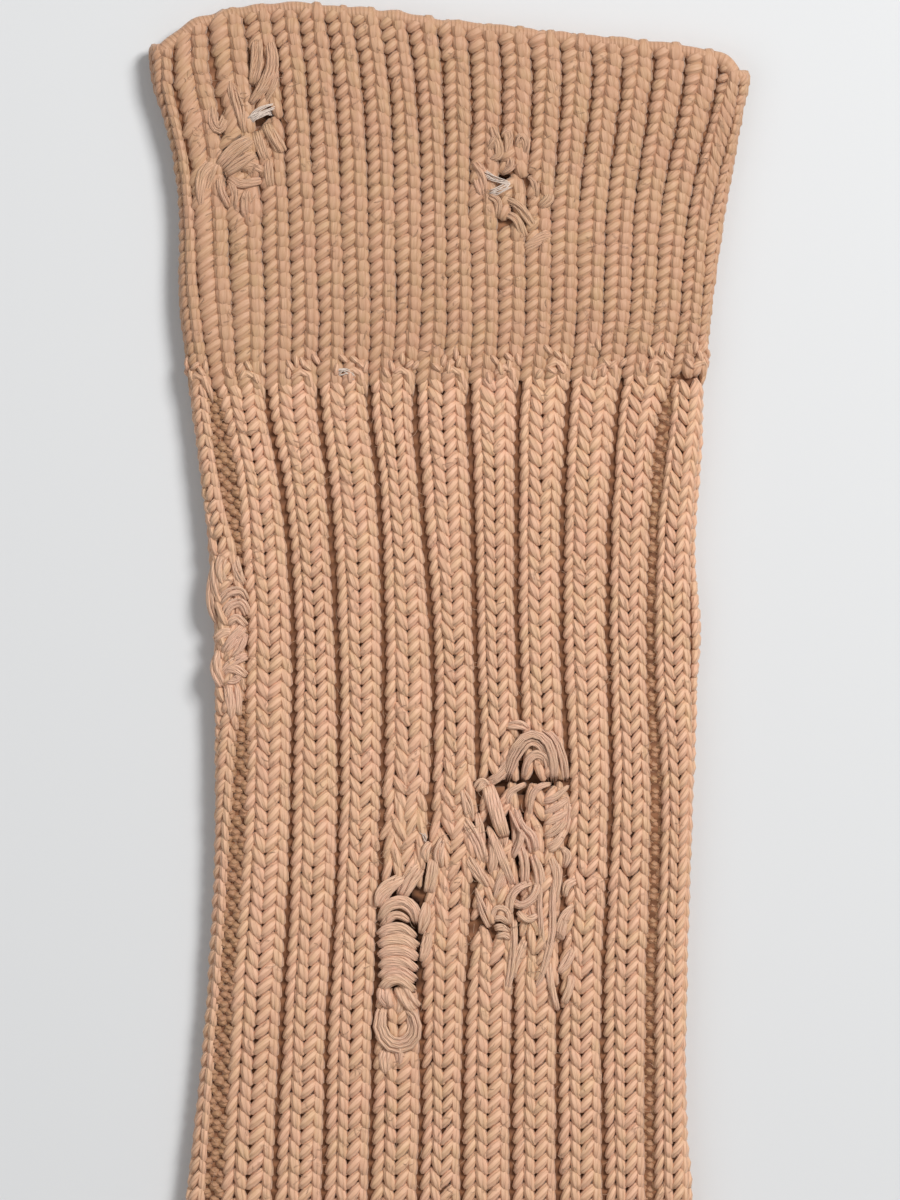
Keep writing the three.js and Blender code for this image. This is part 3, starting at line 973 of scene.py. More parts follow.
def lay_stitches(plan, row, low, high, sides, detail, usual, reach_scale=1.0):
    """Both sides of stitches, leaving out those that fall in a hole.

    usual is the width between the two edges at which the yarn has its own thickness. Stitches
    stretched wider lie flatter, so their yarn is widened in the same measure."""
    middle, outward = on_tube(plan, row, (low + high) / 2, YARN_HEIGHT)
    whole = ~missing(middle, outward)
    stretch = np.clip((high - low)[whole] / usual, *STRETCH_LIMITS)
    if usual == RIB_WIDTH:
        stretch = np.minimum(stretch, RIB_STRETCH)
    slack = slackness(middle, outward)[whole]
    parts = []
    for side in sides:
        edges = low[whole], high[whole]
        reach = side.reach * reach_scale
        parts.append(stitch_sides(plan, row[whole], *edges, side, reach, stretch, slack, **detail))
    return joined(parts)


def cuff_stitches(wales, detail):
    """1x1 rib: every wale stands on its own between two furrows."""
    row, wale = all_pairs(np.arange(CUFF_ROWS) + CUFF_SHIFT, wales)
    low, high = wale_edges(cuff_plan, row, wale, False)
    return lay_stitches(cuff_plan, row, low, high, CUFF_SIDES, detail, CUFF_WIDTH)


def rib_stitches(plan, rows, wales, detail):
    """2x2 rib: even wales hold the rib's first two sides, odd ones its last two."""
    parts = []
    for parity, sides in ((0, RIB_SIDES[:2]), (1, RIB_SIDES[2:])):
        row, wale = all_pairs(rows, wales[wales % 2 == parity])
        low, high = wale_edges(plan, row, wale, True)
        parts.append(lay_stitches(plan, row, low, high, sides, detail, RIB_WIDTH))
    return joined(parts)


def plain_stitches(plan, rows, edges, count, detail, reach_scale=1.0):
    """Plain knit: wales of equal width between two edges."""
    row, wale = all_pairs(rows, np.arange(count))
    low_edge, high_edge = edges(row)
    low = lerp(low_edge, high_edge, wale / count)
    high = lerp(low_edge, high_edge, (wale + 1) / count)
    return lay_stitches(plan, row, low, high, PLAIN_SIDES, detail, PLAIN_WIDTH, reach_scale)


print("ribs are stretched by up to", RIB_STRETCH, "and other wales by up to", STRETCH_LIMITS[1])

# %% [markdown]
# ## Cuff and leg
# The upper panel's wales take in one wale beyond each fold, so that a fold has full detail as well.
# All the others are the lower panel's.

# %% Cuff and leg stitches
UPPER_WALES = np.arange(-1, 2 * PANEL_RIBS + 1)
LOWER_WALES = np.arange(2 * PANEL_RIBS + 1, 4 * PANEL_RIBS - 1)
leg_rows = np.arange(LEG_ROWS) + MID_ROW

knits = {
    "cuff_upper": cuff_stitches(UPPER_WALES, FINE),
    "cuff_lower": cuff_stitches(LOWER_WALES, COARSE),
    "leg_upper": rib_stitches(leg_plan, leg_rows, UPPER_WALES, FINE),
    "leg_lower": rib_stitches(leg_plan, leg_rows, LOWER_WALES, COARSE),
}
for name, arrays in knits.items():
    print(f"{name}: {len(arrays[1])} triangles worked out")

# %% [markdown]
# ## Instep, heel and sole
# The ribs of the instep run on through the bend. At the heel the rows fan out, and there are more of
# them than on the instep, as a knitter's short rows give.

# %% Instep, heel and sole stitches
HEEL_ROWS = 54
PLAIN_WALES = 32
HEEL_REACH = 1.25  # the heel's outer stitches are drawn out, so each reaches further
instep_wales = np.arange(-11, 11)
heel_rows = (np.arange(HEEL_ROWS) + MID_ROW) * BEND_ROWS / HEEL_ROWS
knits["instep_knit"] = rib_stitches(
    instep_plan, np.arange(BEND_ROWS + FOOT_ROWS) + MID_ROW, instep_wales, COARSE)
knits["heel_knit"] = plain_stitches(
    bend_plan, heel_rows, heel_edges(bend_plan), PLAIN_WALES, COARSE,
    HEEL_REACH * BEND_ROWS / HEEL_ROWS)
knits["sole_knit"] = plain_stitches(
    foot_plan, np.arange(FOOT_ROWS) + MID_ROW, heel_edges(foot_plan), PLAIN_WALES, COARSE)
print("heel:", HEEL_ROWS, "rows of", PLAIN_WALES, "wales")

# %% [markdown]
# ## The toe
# A toe is shaped by decreases: its middle wales run straight to the grafted end, and the outer ones
# stop one after another at a band of four wales that follows each fold.

# %% Toe stitches
TOE_WALE = 2.85
BAND_WALES = 4
BAND_HALF = BAND_WALES * TOE_WALE / 2
TOE_WALES = np.arange(-14, 14)  # of each panel, before those beyond the bands are dropped
toe_rows = np.arange(TOE_ROWS + 1) + MID_ROW


def panel_around(plan, row, offset, upper):
    """Distance round the tube of a point so far right of a row's middle, on either panel."""
    width, _ = row_frame(plan, row)
    if upper:
        return QUARTER + width / 2 - EDGE + offset
    return 3 * QUARTER + (width - 2 * EDGE) + width / 2 - EDGE - offset


def toe_panel(upper):
    """Straight wales, kept where their middle lies between the two bands or just under one."""
    row, wale = all_pairs(toe_rows, TOE_WALES)
    width, _ = row_frame(toe_plan, row)
    to_band = width / 2 - EDGE + QUARTER - BAND_HALF
    inside = np.abs(wale + 0.5) * TOE_WALE < to_band + TOE_WALE / 4
    row, wale = row[inside], wale[inside]
    ends = [panel_around(toe_plan, row, (wale + step) * TOE_WALE, upper) for step in (0, 1)]
    return lay_stitches(
        toe_plan, row, np.minimum(*ends), np.maximum(*ends), PLAIN_SIDES, COARSE, PLAIN_WIDTH)


def toe_band(right):
    """Wales along the right or the left fold, half of them on each panel."""
    row, wale = all_pairs(toe_rows, np.arange(BAND_WALES))
    width, _ = row_frame(toe_plan, row)
    middle = 2 * QUARTER + width - 2 * EDGE if right else np.zeros_like(width)
    low = middle - BAND_HALF + wale * TOE_WALE
    return lay_stitches(toe_plan, row, low, low + TOE_WALE, PLAIN_SIDES, COARSE, PLAIN_WIDTH)


knits["toe_knit"] = joined([toe_panel(True), toe_panel(False), toe_band(True), toe_band(False)])
print("toe:", len(knits["toe_knit"][1]), "triangles worked out")

# %% [markdown]
# ## Purl bumps in the furrows
# Between the ribs the knit shows its other face: short level bumps, deep in the furrow. They only
# catch the light where a furrow has pulled open: five lie side by side in the first furrow and
# three in the last. Two bumps belong to each row, one sagging and one arched, and they interlock
# like roof tiles. Their yarn is painted darker than the ribs', as painted shade from the ribs.

# %% Purl bumps
PURL_HEIGHT = 1.05
PURL_ACROSS = 1.25  # from one bump to the next across the furrow
PURL_REACH = 0.75  # half of a bump's length, as a share of that
PURL_SAG = 0.13  # how far its middle and ends leave its row, in rows
PURL_ARCH = 0.35  # how much higher its middle is than its ends
PURL_THICK = 0.92
BLUNT = [0.8, 1, 0.8]  # thickness of a short spindle at its three rings


def tapered(count, radius, shares):
    """Half the thickness of many spindles at their rings: the radius times each ring's share."""
    return radius * np.ones((count, 1)) * shares


def purl_bumps(plan, furrow, columns, lift):
    """Short level spindles across a furrow, two to a row, alternately sagging and arched."""
    half_row, column = all_pairs(np.arange(2 * LEG_ROWS), np.arange(columns))
    count = len(half_row)
    sag = np.where((half_row + column) % 2, 1.0, -1.0)
    t = np.linspace(-1, 1, 5)[None, :]
    row = (half_row / 2 + 0.25)[:, None] + PURL_SAG * sag[:, None] * (1 - 2 * t ** 2)
    row = row + 0.06 * rng.normal(0, 1, (count, 1))
    middle = rib_around(plan, row[:, 2], furrow) + (column - (columns - 1) / 2) * PURL_ACROSS
    around = middle[:, None] + PURL_REACH * PURL_ACROSS * t + 0.1 * rng.normal(0, 1, (count, 1))
    height = PURL_HEIGHT + lift + PURL_ARCH * (1 - t ** 2) + 0.08 * rng.normal(0, 1, (count, 1))
    path, outward = on_tube(plan, row, around, height)
    thick = tapered(count, PURL_THICK, BLUNT)
    return spindles(path, outward, thick, thick, 5, rng.uniform(0, 1, count))


knits["leg_purl"] = joined([
    purl_bumps(leg_plan, 1, 5, 0.0),
    purl_bumps(leg_plan, PANEL_RIBS - 1, 3, -0.4),
])
print("purl bumps:", len(knits["leg_purl"][1]), "triangles worked out")

# %% [markdown]
# ## Where the leg begins
# The right half of every rib begins afresh under the cuff: a loop arches over its shoulder and runs
# down its right edge. Small knots of yarn sit above it, where the cuff's wale ends.

# %% Shoulders and knots
SHOULDER_THICK = 0.72
KNOTS_PER_RIB = 6
KNOT_THICK = 0.55
KNOT_ROWS = (-0.7, 0.8)  # place of the lower row of knots, and how far the upper one lies above it
KNOT_RIBS = (0.40, 0.11)  # place of the first knot in its rib, and the step to the next
KNOT_HALF = (1.1, 0.7)  # half a knot's length when level in mm, and when upright in rows


def shoulders():
    """One arched spindle at the top of each rib, through six given places in rib and row."""
    rib = np.arange(PANEL_RIBS)[:, None]
    across = np.array([0.47, 0.56, 0.70, 0.86, 0.95, 0.97])
    down = np.array([0.5, -0.35, -0.75, -0.45, 0.6, 2.0])
    row = down + 0.12 * rng.normal(0, 1, (PANEL_RIBS, 1)) * np.ones(6)
    around = rib_around(leg_plan, row, rib + across)
    height = YARN_HEIGHT + np.array([-0.7, 0.1, 0.3, 0.2, -0.05, -0.9])
    path, outward = on_tube(leg_plan, row, around, height)
    thick = tapered(PANEL_RIBS, SHOULDER_THICK, [0.85, 1, 1, 0.8])
    return spindles(path, outward, thick, thick, 6, rng.uniform(0, 1, PANEL_RIBS))


def knots():
    """Short arched spindles above each rib's right half, in two rows, each turned its own way."""
    rib, number = all_pairs(np.arange(PANEL_RIBS), np.arange(KNOTS_PER_RIB))
    count = len(rib)
    row = KNOT_ROWS[0] - KNOT_ROWS[1] * (number % 2) + 0.35 * rng.normal(0, 1, count)
    across = KNOT_RIBS[0] + KNOT_RIBS[1] * number + 0.03 * rng.normal(0, 1, count)
    way = rng.uniform(0.15, 0.85, (count, 1)) * np.pi
    t = np.linspace(-1, 1, 5)
    around = rib_around(leg_plan, row, rib + across)[:, None] + KNOT_HALF[0] * np.cos(way) * t
    height = YARN_HEIGHT + 0.15 + 0.45 * (1 - t ** 2)
    path, outward = on_tube(
        leg_plan, row[:, None] + KNOT_HALF[1] * np.sin(way) * t, around, height)
    thick = tapered(count, KNOT_THICK, BLUNT)
    return spindles(path, outward, thick, thick, 6, rng.uniform(0, 1, count))


knits["leg_join"] = joined([shoulders(), knots()])
print(PANEL_RIBS, "shoulders and", PANEL_RIBS * KNOTS_PER_RIB, "knots")

# %% [markdown]
# ## The rim
# The cuff's edge is turned over and soft: the wales fade out just below it and the yarn runs over
# the edge to the inside. A ring with an oval section round the mouth does this, wavering a little.

# %% The cuff's turned rim
RIM_ROW = 0.55
RIM_HEIGHT = 1.5  # of its middle above the tube's middle plane
RIM_WIDE = 1.25  # half the oval's width along the cuff
RIM_HIGH = 1.3  # half its height
RIM_TONE = 0.4
WAVER = 0.05  # how far each of the waves below changes the oval, as a share
RIM_WAVES = ((11, 0.4), (23, 2.0), (37, 4.1))  # waves round the mouth, and where each starts
RIBBING = 0.03  # the same for one wave to a wale
PLY_CROSSING, PLY_TURN = 4, 12  # mm of U across the rim, and segments round the mouth to one V


def rim_roll(segments=528, sides=12):
    """A closed ring of ovals carried round the mouth, their size wavering from place to place.

    The UV is turned so that the plies of the yarn material cross the rim."""
    share = np.arange(segments) / segments
    turn = 2 * np.pi * share
    waver = sum(WAVER * np.sin(waves * turn + phase) for waves, phase in RIM_WAVES)
    waver = waver + RIBBING * np.cos(2 * RIBS * turn)
    row = RIM_ROW - 0.5 * waver
    path, outward = on_tube(cuff_plan, row, share * round_length(cuff_plan, row), RIM_HEIGHT)
    ahead = np.roll(path, -1, axis=0) - np.roll(path, 1, axis=0)
    ahead /= np.linalg.norm(ahead, axis=1, keepdims=True)
    sideways = np.cross(ahead, outward)
    sideways /= np.linalg.norm(sideways, axis=1, keepdims=True)
    angle = 2 * np.pi * np.arange(sides) / sides
    oval = (
        (RIM_WIDE * (1 + waver))[:, None, None] * np.cos(angle)[:, None] * sideways[:, None]
        + (RIM_HIGH * (1 + waver))[:, None, None] * np.sin(angle)[:, None] * outward[:, None]
    )
    here, side = all_pairs(np.arange(segments), np.arange(sides))
    corners = [(0, 0), (0, 1), (1, 1), (1, 0)]
    index = [(here + a) % segments * sides + (side + b) % sides for a, b in corners]
    uv = [
        np.stack([(side + b) / sides * PLY_CROSSING, (here + a) / PLY_TURN], axis=1)
        for a, b in corners
    ]
    halves = ((0, 1, 2), (0, 2, 3))
    triangles = np.concatenate([np.stack([index[k] for k in half], axis=1) for half in halves])
    uvs = np.concatenate([np.stack([uv[k] for k in half], axis=1) for half in halves])
    points = (path[:, None] + oval).reshape(-1, 3)
    return points, triangles, uvs, np.full(len(points), RIM_TONE)


knits["cuff_rim"] = rim_roll()
print("rim:", len(knits["cuff_rim"][1]), "triangles worked out")

# %% [markdown]
# ## Snagged places
# The sock is snagged in five places. There the yarn has been pulled out of its stitches: it lies on
# top as loose bundles in which every ply can be seen. Loose yarn has no pattern to compute, so each
# bundle is listed one by one: how many plies, how wide the bundle lies, how high, its tone, and a few
# plan points (x, down) that its middle passes through.

# %% Loose bundles of plies
LOOSE_STATIONS = 12
PLY_SHARE = 0.92  # radius of a ply as a share of its room: more than half, so the plies overlap
NARROWER = 0.3  # share by which a bundle is narrower at its ends
TWIST = 0.22  # the most that a bundle turns about its own middle each way, in whole turns
DEPTH = 0.16  # how far its plies lie above and below each other, as a share of its width
DIP = 1.3  # how far its ends dip into the cloth
CROWN = 0.25  # how much lower its outermost plies lie


def bundle(plies, spread, top, tone, points, thin=None, stray=0.13):
    """Plies side by side along a smooth curve, each with its own slight waver.

    The curve runs through the points at even steps. Across it the plies are spread evenly over the
    bundle's width, which narrows towards both ends, and the whole ribbon turns a little about its
    own middle from one end to the other. The height is flat on top and falls off with the fourth
    power towards the ends, which dip back into the cloth."""
    points = np.array(points, float)
    place = np.arange(len(points), dtype=float)
    t = np.linspace(0, 1, LOOSE_STATIONS)
    at = t * place[-1]
    curves = [smooth_table(np.stack([place, values], axis=1)) for values in points.T]
    middle = np.stack([curve(at) for curve in curves], axis=1)
    middle = middle * [1, -1] + PLAN_ORIGIN
    ahead = np.gradient(middle, axis=0)
    ahead /= np.linalg.norm(ahead, axis=1, keepdims=True)
    across = np.stack([-ahead[:, 1], ahead[:, 0]], axis=1)
    ply = (np.arange(plies) + 0.5) / plies - 0.5
    narrowing = 1 - NARROWER * (2 * t - 1) ** 2
    phase, rate = rng.uniform(0, 2 * np.pi, (plies, 1)), rng.uniform(2, 6, (plies, 1))
    turn = 2 * np.pi * rng.uniform(-TWIST, TWIST) * (2 * t - 1)
    flat = ply[:, None] * spread * narrowing
    deep = DEPTH * spread * rng.uniform(-1, 1, (plies, 1)) * narrowing
    offset = flat * np.cos(turn) - deep * np.sin(turn) + stray * np.sin(phase + rate * t)
    rise = 0.6 * flat * np.sin(turn) + deep * np.cos(turn) + 0.6 * stray * np.cos(phase + rate * t)
    height = top + rise - DIP * (2 * t - 1) ** 4 - CROWN * (2 * ply[:, None]) ** 2
    spots = middle + offset[..., None] * across
    path = np.concatenate([spots, (TABLE + FOLD + height)[..., None]], axis=-1)
    radius = thin or PLY_SHARE * spread / plies
    thick = radius * (1 + 0.1 * rng.normal(0, 1, (plies, 1))) * np.ones(LOOSE_STATIONS - 2)
    outward = np.zeros_like(path)
    outward[..., 2] = 1
    return spindles(path, outward, thick, thick, 5, np.full(plies, tone))


print("each ply of a bundle has", len(spindle_template(LOOSE_STATIONS - 2, 5)[0]), "triangles")

# %% [markdown]
# ## The great snag
# Its middle is an opening of a few stitches, with an arch of bare plies over it and slack stitches
# deep inside. A column of yarn is wrapped round with strands at its right, and long loose strands
# run down from it.

# %% The great snag in the middle of the leg
LEG_SNAG = [
    # slack stitches lying deep in the opening
    (4, 1.9, 2.0, 0.3, [(8.6, 146.0), (9.6, 149.6), (9.4, 154.0)]),
    (4, 1.9, 2.0, 0.3, [(11.4, 145.6), (12.4, 149.4), (12.0, 154.4)]),
    (4, 1.9, 2.1, 0.2, [(14.2, 146.2), (15.2, 150.0), (14.6, 155.0)]),
    (4, 1.8, 2.2, 0.4, [(17.6, 142.4), (18.2, 146.0), (17.8, 150.4)]),
    (4, 1.8, 2.2, 0.4, [(20.4, 142.4), (20.8, 146.0), (20.4, 150.8)]),
    (4, 1.8, 2.1, 0.4, [(8.2, 153.0), (9.4, 157.4), (9.0, 161.4)]),
    (4, 1.8, 2.1, 0.4, [(14.6, 161.0), (14.6, 165.0), (14.2, 169.6)]),
    # the arch of bare plies over the opening
    (9, 2.6, 3.5, 0.5, [
        (10.0, 140.8), (11.4, 136.2), (14.0, 132.9), (16.8, 133.6), (18.2, 137.0), (18.5, 141.0),
    ]),
    (5, 1.5, 3.2, 0.6, [(13.0, 140.6), (13.8, 137.2), (15.4, 135.7), (17.0, 136.4), (17.7, 138.6)]),
    (5, 1.4, 3.0, 0.4, [(15.6, 130.8), (18.6, 132.8), (20.2, 136.6), (20.9, 141.0)]),
    (5, 1.7, 2.9, 0.5, [(6.4, 141.4), (8.8, 139.6), (10.6, 136.8), (11.6, 133.8)]),
    (3, 1.3, 2.8, 0.5, [(9.8, 130.7), (12.4, 130.5), (14.4, 131.3)]),
    # across and below the opening
    (4, 1.2, 2.8, 0.6, [(10.3, 145.4), (11.3, 142.6), (13.8, 141.0)]),
    (4, 1.2, 2.9, 0.5, [(14.3, 147.6), (14.8, 143.4), (16.2, 141.5), (18.4, 141.0)]),
    (4, 2.4, 3.2, 0.5, [(6.6, 141.2), (8.2, 145.4), (10.2, 151.0)]),
    (4, 1.7, 2.9, 0.6, [(2.0, 141.6), (3.2, 145.0), (4.2, 148.2)]),
    (4, 1.6, 3.0, 0.6, [(4.6, 142.4), (5.8, 141.0), (7.2, 141.6)]),
    (3, 1.1, 2.9, 0.5, [(4.8, 146.2), (5.5, 149.6), (6.0, 152.8)]),
    (4, 1.6, 3.2, 0.5, [(6.6, 148.6), (8.8, 153.2), (11.8, 160.0)]),
    (5, 1.9, 3.1, 0.15, [(10.9, 145.0), (12.8, 148.8), (14.6, 150.8), (15.3, 154.0)]),
    (4, 1.1, 3.3, 0.1, [(13.2, 148.8), (12.4, 151.8), (11.2, 154.8)]),
    (4, 1.5, 3.0, 0.4, [(12.4, 151.6), (13.4, 155.2), (13.4, 159.6)]),
    (4, 1.5, 3.1, 0.2, [(14.8, 153.6), (16.1, 157.0), (16.4, 161.0)]),
    (4, 1.4, 3.2, 0.3, [(18.0, 153.8), (19.2, 157.6), (18.6, 163.0)]),
    (4, 1.7, 2.9, 0.5, [(2.0, 147.0), (4.8, 151.4), (6.4, 156.0)]),
    (4, 1.6, 2.9, 0.6, [(3.2, 154.0), (5.0, 157.0), (7.2, 160.0)]),
    (3, 1.3, 3.0, 0.5, [(7.3, 150.4), (7.8, 154.0), (7.4, 157.6)]),
    (4, 1.7, 3.1, 0.6, [(-1.4, 150.4), (-1.9, 153.4), (-1.6, 156.4)]),
    (3, 1.4, 3.0, 0.6, [(-3.6, 151.6), (-4.5, 153.2), (-4.4, 155.4)]),
    # the wrapped column to the right
    (3, 1.2, 3.1, 0.3, [(16.6, 144.4), (19.0, 143.4), (21.6, 141.4)]),
    (3, 1.2, 3.1, 0.2, [(16.6, 146.6), (19.0, 145.4), (21.4, 143.6)]),
    (3, 1.2, 3.1, 0.4, [(17.0, 148.8), (19.0, 147.4), (21.2, 145.6)]),
    (4, 1.4, 3.1, 0.6, [(16.9, 150.8), (18.8, 149.6), (20.8, 147.4)]),
    (3, 1.5, 3.0, 0.5, [(17.4, 153.0), (19.2, 151.6), (20.8, 149.2)]),
    (3, 1.2, 2.9, 0.3, [(19.6, 152.0), (21.2, 153.8), (20.4, 156.4)]),
    # long loose strands going down
    (3, 1.0, 3.2, 0.4, [(19.3, 154.6), (18.5, 161.0), (18.4, 168.0), (17.0, 174.4), (15.2, 179.0)]),
    (3, 1.0, 3.1, 0.5, [(17.2, 155.6), (16.2, 161.2), (16.5, 167.0), (17.2, 172.4)]),
    (4, 1.5, 3.2, 0.5, [(16.4, 157.6), (15.4, 161.2), (13.0, 163.0), (11.0, 162.2)]),
    (4, 1.5, 3.3, 0.6, [(15.2, 158.8), (12.4, 159.8), (10.9, 161.8), (10.6, 165.0)]),
    (3, 1.3, 3.1, 0.4, [(12.0, 164.0), (14.2, 165.4), (16.0, 164.6)]),
    (3, 1.2, 3.0, 0.5, [(11.5, 164.8), (11.6, 170.0), (11.0, 175.4), (10.2, 179.0)]),
    (3, 1.2, 3.0, 0.6, [(13.4, 169.0), (12.2, 172.4), (11.4, 176.6)]),
    (3, 1.1, 3.1, 0.5, [(17.8, 172.6), (18.4, 177.8), (19.4, 182.4)]),
    (3, 1.3, 3.0, 0.4, [(20.6, 161.6), (21.2, 159.4), (22.8, 158.4)]),
    (4, 1.6, 3.0, 0.3, [(19.6, 169.6), (20.6, 165.4), (22.4, 162.8)]),
    (3, 1.3, 3.0, 0.5, [(19.7, 175.6), (21.0, 173.2), (22.2, 170.4)]),
    (3, 1.3, 3.0, 0.5, [(20.4, 181.0), (21.4, 178.4), (21.9, 175.4)]),
    # the small wrapped loop
    (3, 1.0, 3.1, 0.6, [(7.3, 166.6), (8.2, 163.6), (10.2, 164.0), (10.8, 167.0)]),
    (3, 1.0, 3.1, 0.6, [(7.8, 165.6), (9.2, 165.4), (10.8, 166.4)]),
    (3, 1.0, 3.1, 0.5, [(8.0, 167.2), (9.4, 166.9), (10.9, 167.8)]),
    (3, 1.0, 3.1, 0.6, [(8.3, 168.8), (9.6, 168.4), (10.8, 169.2)]),
    (4, 1.4, 2.9, 0.5, [(4.6, 159.6), (5.8, 163.8), (7.2, 167.4)]),
    (4, 1.4, 2.9, 0.5, [(8.2, 162.4), (8.8, 159.0), (9.6, 156.0)]),
]
print("bundles in the great snag:", len(LEG_SNAG))

# %% [markdown]
# ## The ladder
# A dropped stitch has run down its wale and left a ladder. Its rungs have slid together and wrap a
# column of yarn like thread on a spool, with a loop hanging under it.

# %% The ladder
LADDER = [
    (5, 2.4, 3.2, 0.6, [(-12.9, 163.6), (-11.7, 160.2), (-8.0, 157.6)]),
    (5, 2.6, 3.1, 0.5, [(-8.9, 161.8), (-7.3, 158.4), (-5.2, 155.8)]),
    (4, 1.8, 3.0, 0.4, [(-3.9, 161.0), (-3.2, 157.6), (-3.0, 154.4)]),
    (3, 1.6, 3.0, 0.6, [(-5.2, 168.4), (-4.6, 165.2), (-4.2, 162.4)]),
    (3, 1.6, 2.9, 0.5, [(-5.0, 173.4), (-4.3, 170.4), (-3.9, 167.4)]),
    (5, 2.0, 3.3, 0.6, [(-13.0, 166.0), (-11.4, 163.2), (-8.8, 162.3), (-6.6, 163.8), (-5.8, 166.8)]),
    (4, 1.5, 3.1, 0.6, [(-12.4, 167.2), (-10.6, 165.2), (-9.0, 164.8), (-7.0, 166.0)]),
    (4, 1.8, 3.3, 0.5, [(-13.1, 168.6), (-11.4, 167.4), (-8.6, 167.2), (-5.9, 169.0)]),
    (4, 1.8, 3.2, 0.6, [(-13.1, 170.4), (-11.2, 169.2), (-8.2, 169.2), (-5.6, 171.0)]),
    (4, 1.9, 3.3, 0.4, [(-13.0, 172.4), (-11.0, 171.2), (-8.2, 171.2), (-5.4, 172.8)]),
    (4, 1.8, 3.2, 0.6, [(-12.8, 174.4), (-11.0, 173.1), (-8.2, 173.1), (-5.6, 174.8)]),
    (4, 1.8, 3.3, 0.5, [(-12.6, 176.4), (-11.0, 174.9), (-8.6, 174.8), (-5.9, 176.8)]),
    (4, 1.8, 3.4, 0.8, [(-12.4, 178.4), (-10.9, 176.8), (-8.8, 176.6), (-6.2, 178.8)]),
    (3, 2.0, 3.2, 0.5, [(-12.2, 177.8), (-11.8, 179.4), (-10.6, 181.4)]),
    (4, 2.4, 3.2, 0.5, [(-9.2, 177.4), (-7.8, 179.6), (-6.0, 181.8)]),
    (4, 2.2, 2.5, 0.4, [(-10.4, 178.6), (-9.6, 180.4), (-9.4, 183.0)]),
    (6, 2.5, 3.1, 0.6, [
        (-11.6, 180.2), (-12.6, 184.4), (-11.0, 187.6), (-8.2, 188.0), (-6.4, 185.8), (-6.9, 182.8),
        (-8.6, 181.6),
    ]),
    (4, 1.8, 2.9, 0.5, [(-9.0, 187.6), (-8.8, 189.6), (-8.8, 192.0)]),
    (3, 1.7, 2.7, 0.5, [(-11.6, 188.6), (-11.8, 191.0), (-11.4, 193.6)]),
]

print("bundles in the ladder:", len(LADDER))

# %% [markdown]
# ## The snag at the left of the cuff
# Strands are drawn together from all sides into one tight place, with the hole above it.

# %% The snag at the left of the cuff
CUFF_SNAG = [
    (5, 2.0, 3.1, 0.5, [(-34.6, 6.2), (-34.8, 10.8), (-35.6, 15.6)]),
    (7, 2.4, 3.3, 0.5, [(-32.6, 6.4), (-31.9, 11.2), (-33.4, 15.4), (-36.4, 19.2)]),
    (4, 1.2, 3.0, 0.5, [(-31.2, 11.6), (-31.8, 15.4), (-33.8, 19.0)]),
    (5, 1.7, 3.0, 0.5, [(-42.9, 17.2), (-42.7, 21.4), (-41.4, 23.0), (-40.4, 20.0)]),
    (5, 1.8, 3.0, 0.6, [(-39.8, 13.8), (-38.2, 19.0), (-36.9, 24.4)]),
    (4, 2.0, 3.2, 0.6, [(-33.2, 22.0), (-31.8, 24.6), (-30.0, 27.6)]),
    (4, 1.8, 3.1, 0.5, [(-35.1, 23.4), (-34.2, 26.2), (-32.8, 29.2)]),
    (6, 2.4, 3.3, 0.5, [(-41.9, 30.4), (-38.8, 27.2), (-35.2, 24.6)]),
    (5, 1.8, 3.2, 0.6, [(-40.8, 31.4), (-37.6, 29.4), (-34.8, 27.6)]),
    (4, 1.6, 3.0, 0.3, [(-40.2, 31.8), (-37.4, 33.0), (-33.6, 32.2)]),
    (3, 1.2, 3.0, 0.6, [(-37.6, 30.8), (-35.6, 29.8), (-33.2, 30.6)]),
    (6, 2.8, 2.9, 0.4, [(-42.0, 28.6), (-44.2, 31.8), (-44.8, 37.8)]),
    (3, 1.2, 3.0, 0.5, [(-41.4, 31.4), (-41.2, 34.2), (-39.8, 37.6)]),
    (3, 1.2, 3.0, 0.5, [(-40.0, 31.8), (-38.8, 34.8), (-38.8, 38.2)]),
    (4, 1.6, 3.0, 0.5, [(-32.8, 28.2), (-32.6, 31.0), (-32.2, 34.0)]),
    (4, 1.6, 3.0, 0.5, [(-36.4, 33.6), (-36.8, 36.2), (-36.8, 39.4)]),
]

print("bundles at the left of the cuff:", len(CUFF_SNAG))

# %% [markdown]
# ## The snag in the middle of the cuff
# A small hole with loops standing round it, and one strand that slants away from it.

# %% The snag in the middle of the cuff
MIDDLE_SNAG = [
    (3, 1.2, 3.0, 0.6, [(6.6, 27.6), (8.2, 25.0), (8.9, 27.8), (6.8, 29.0)]),
    (3, 1.3, 3.0, 0.6, [(7.4, 22.6), (8.0, 24.2), (8.8, 25.6)]),
    (4, 1.5, 3.0, 0.5, [(9.4, 25.0), (10.4, 23.8), (10.6, 26.0), (9.8, 29.2)]),
    (3, 1.3, 3.0, 0.5, [(11.8, 26.8), (12.6, 24.6), (13.6, 25.6), (13.2, 28.4)]),
    (4, 1.4, 3.0, 0.5, [(10.4, 27.6), (11.0, 29.6), (9.2, 31.4)]),
    (5, 2.4, 2.9, 0.0, [(4.2, 29.0), (5.4, 31.8), (6.0, 35.4)]),
    (4, 1.5, 3.2, 0.6, [(9.8, 35.6), (12.4, 37.0), (14.0, 39.0), (15.3, 41.2)]),
    (4, 1.5, 3.1, 0.5, [(10.0, 38.2), (12.0, 39.6), (13.6, 43.0)]),
    (4, 1.8, 3.1, 0.5, [(13.2, 45.0), (15.6, 43.4), (18.4, 41.8)]),
    (4, 1.4, 3.0, 0.6, [(6.8, 34.8), (8.6, 36.2), (8.4, 39.4)]),
    (4, 1.4, 2.9, 0.5, [(14.0, 31.6), (15.2, 33.0), (15.6, 36.0)]),
    (3, 1.3, 3.0, 0.6, [(16.0, 37.4), (17.6, 36.0), (18.0, 34.6)]),
]

print("bundles in the middle of the cuff:", len(MIDDLE_SNAG))

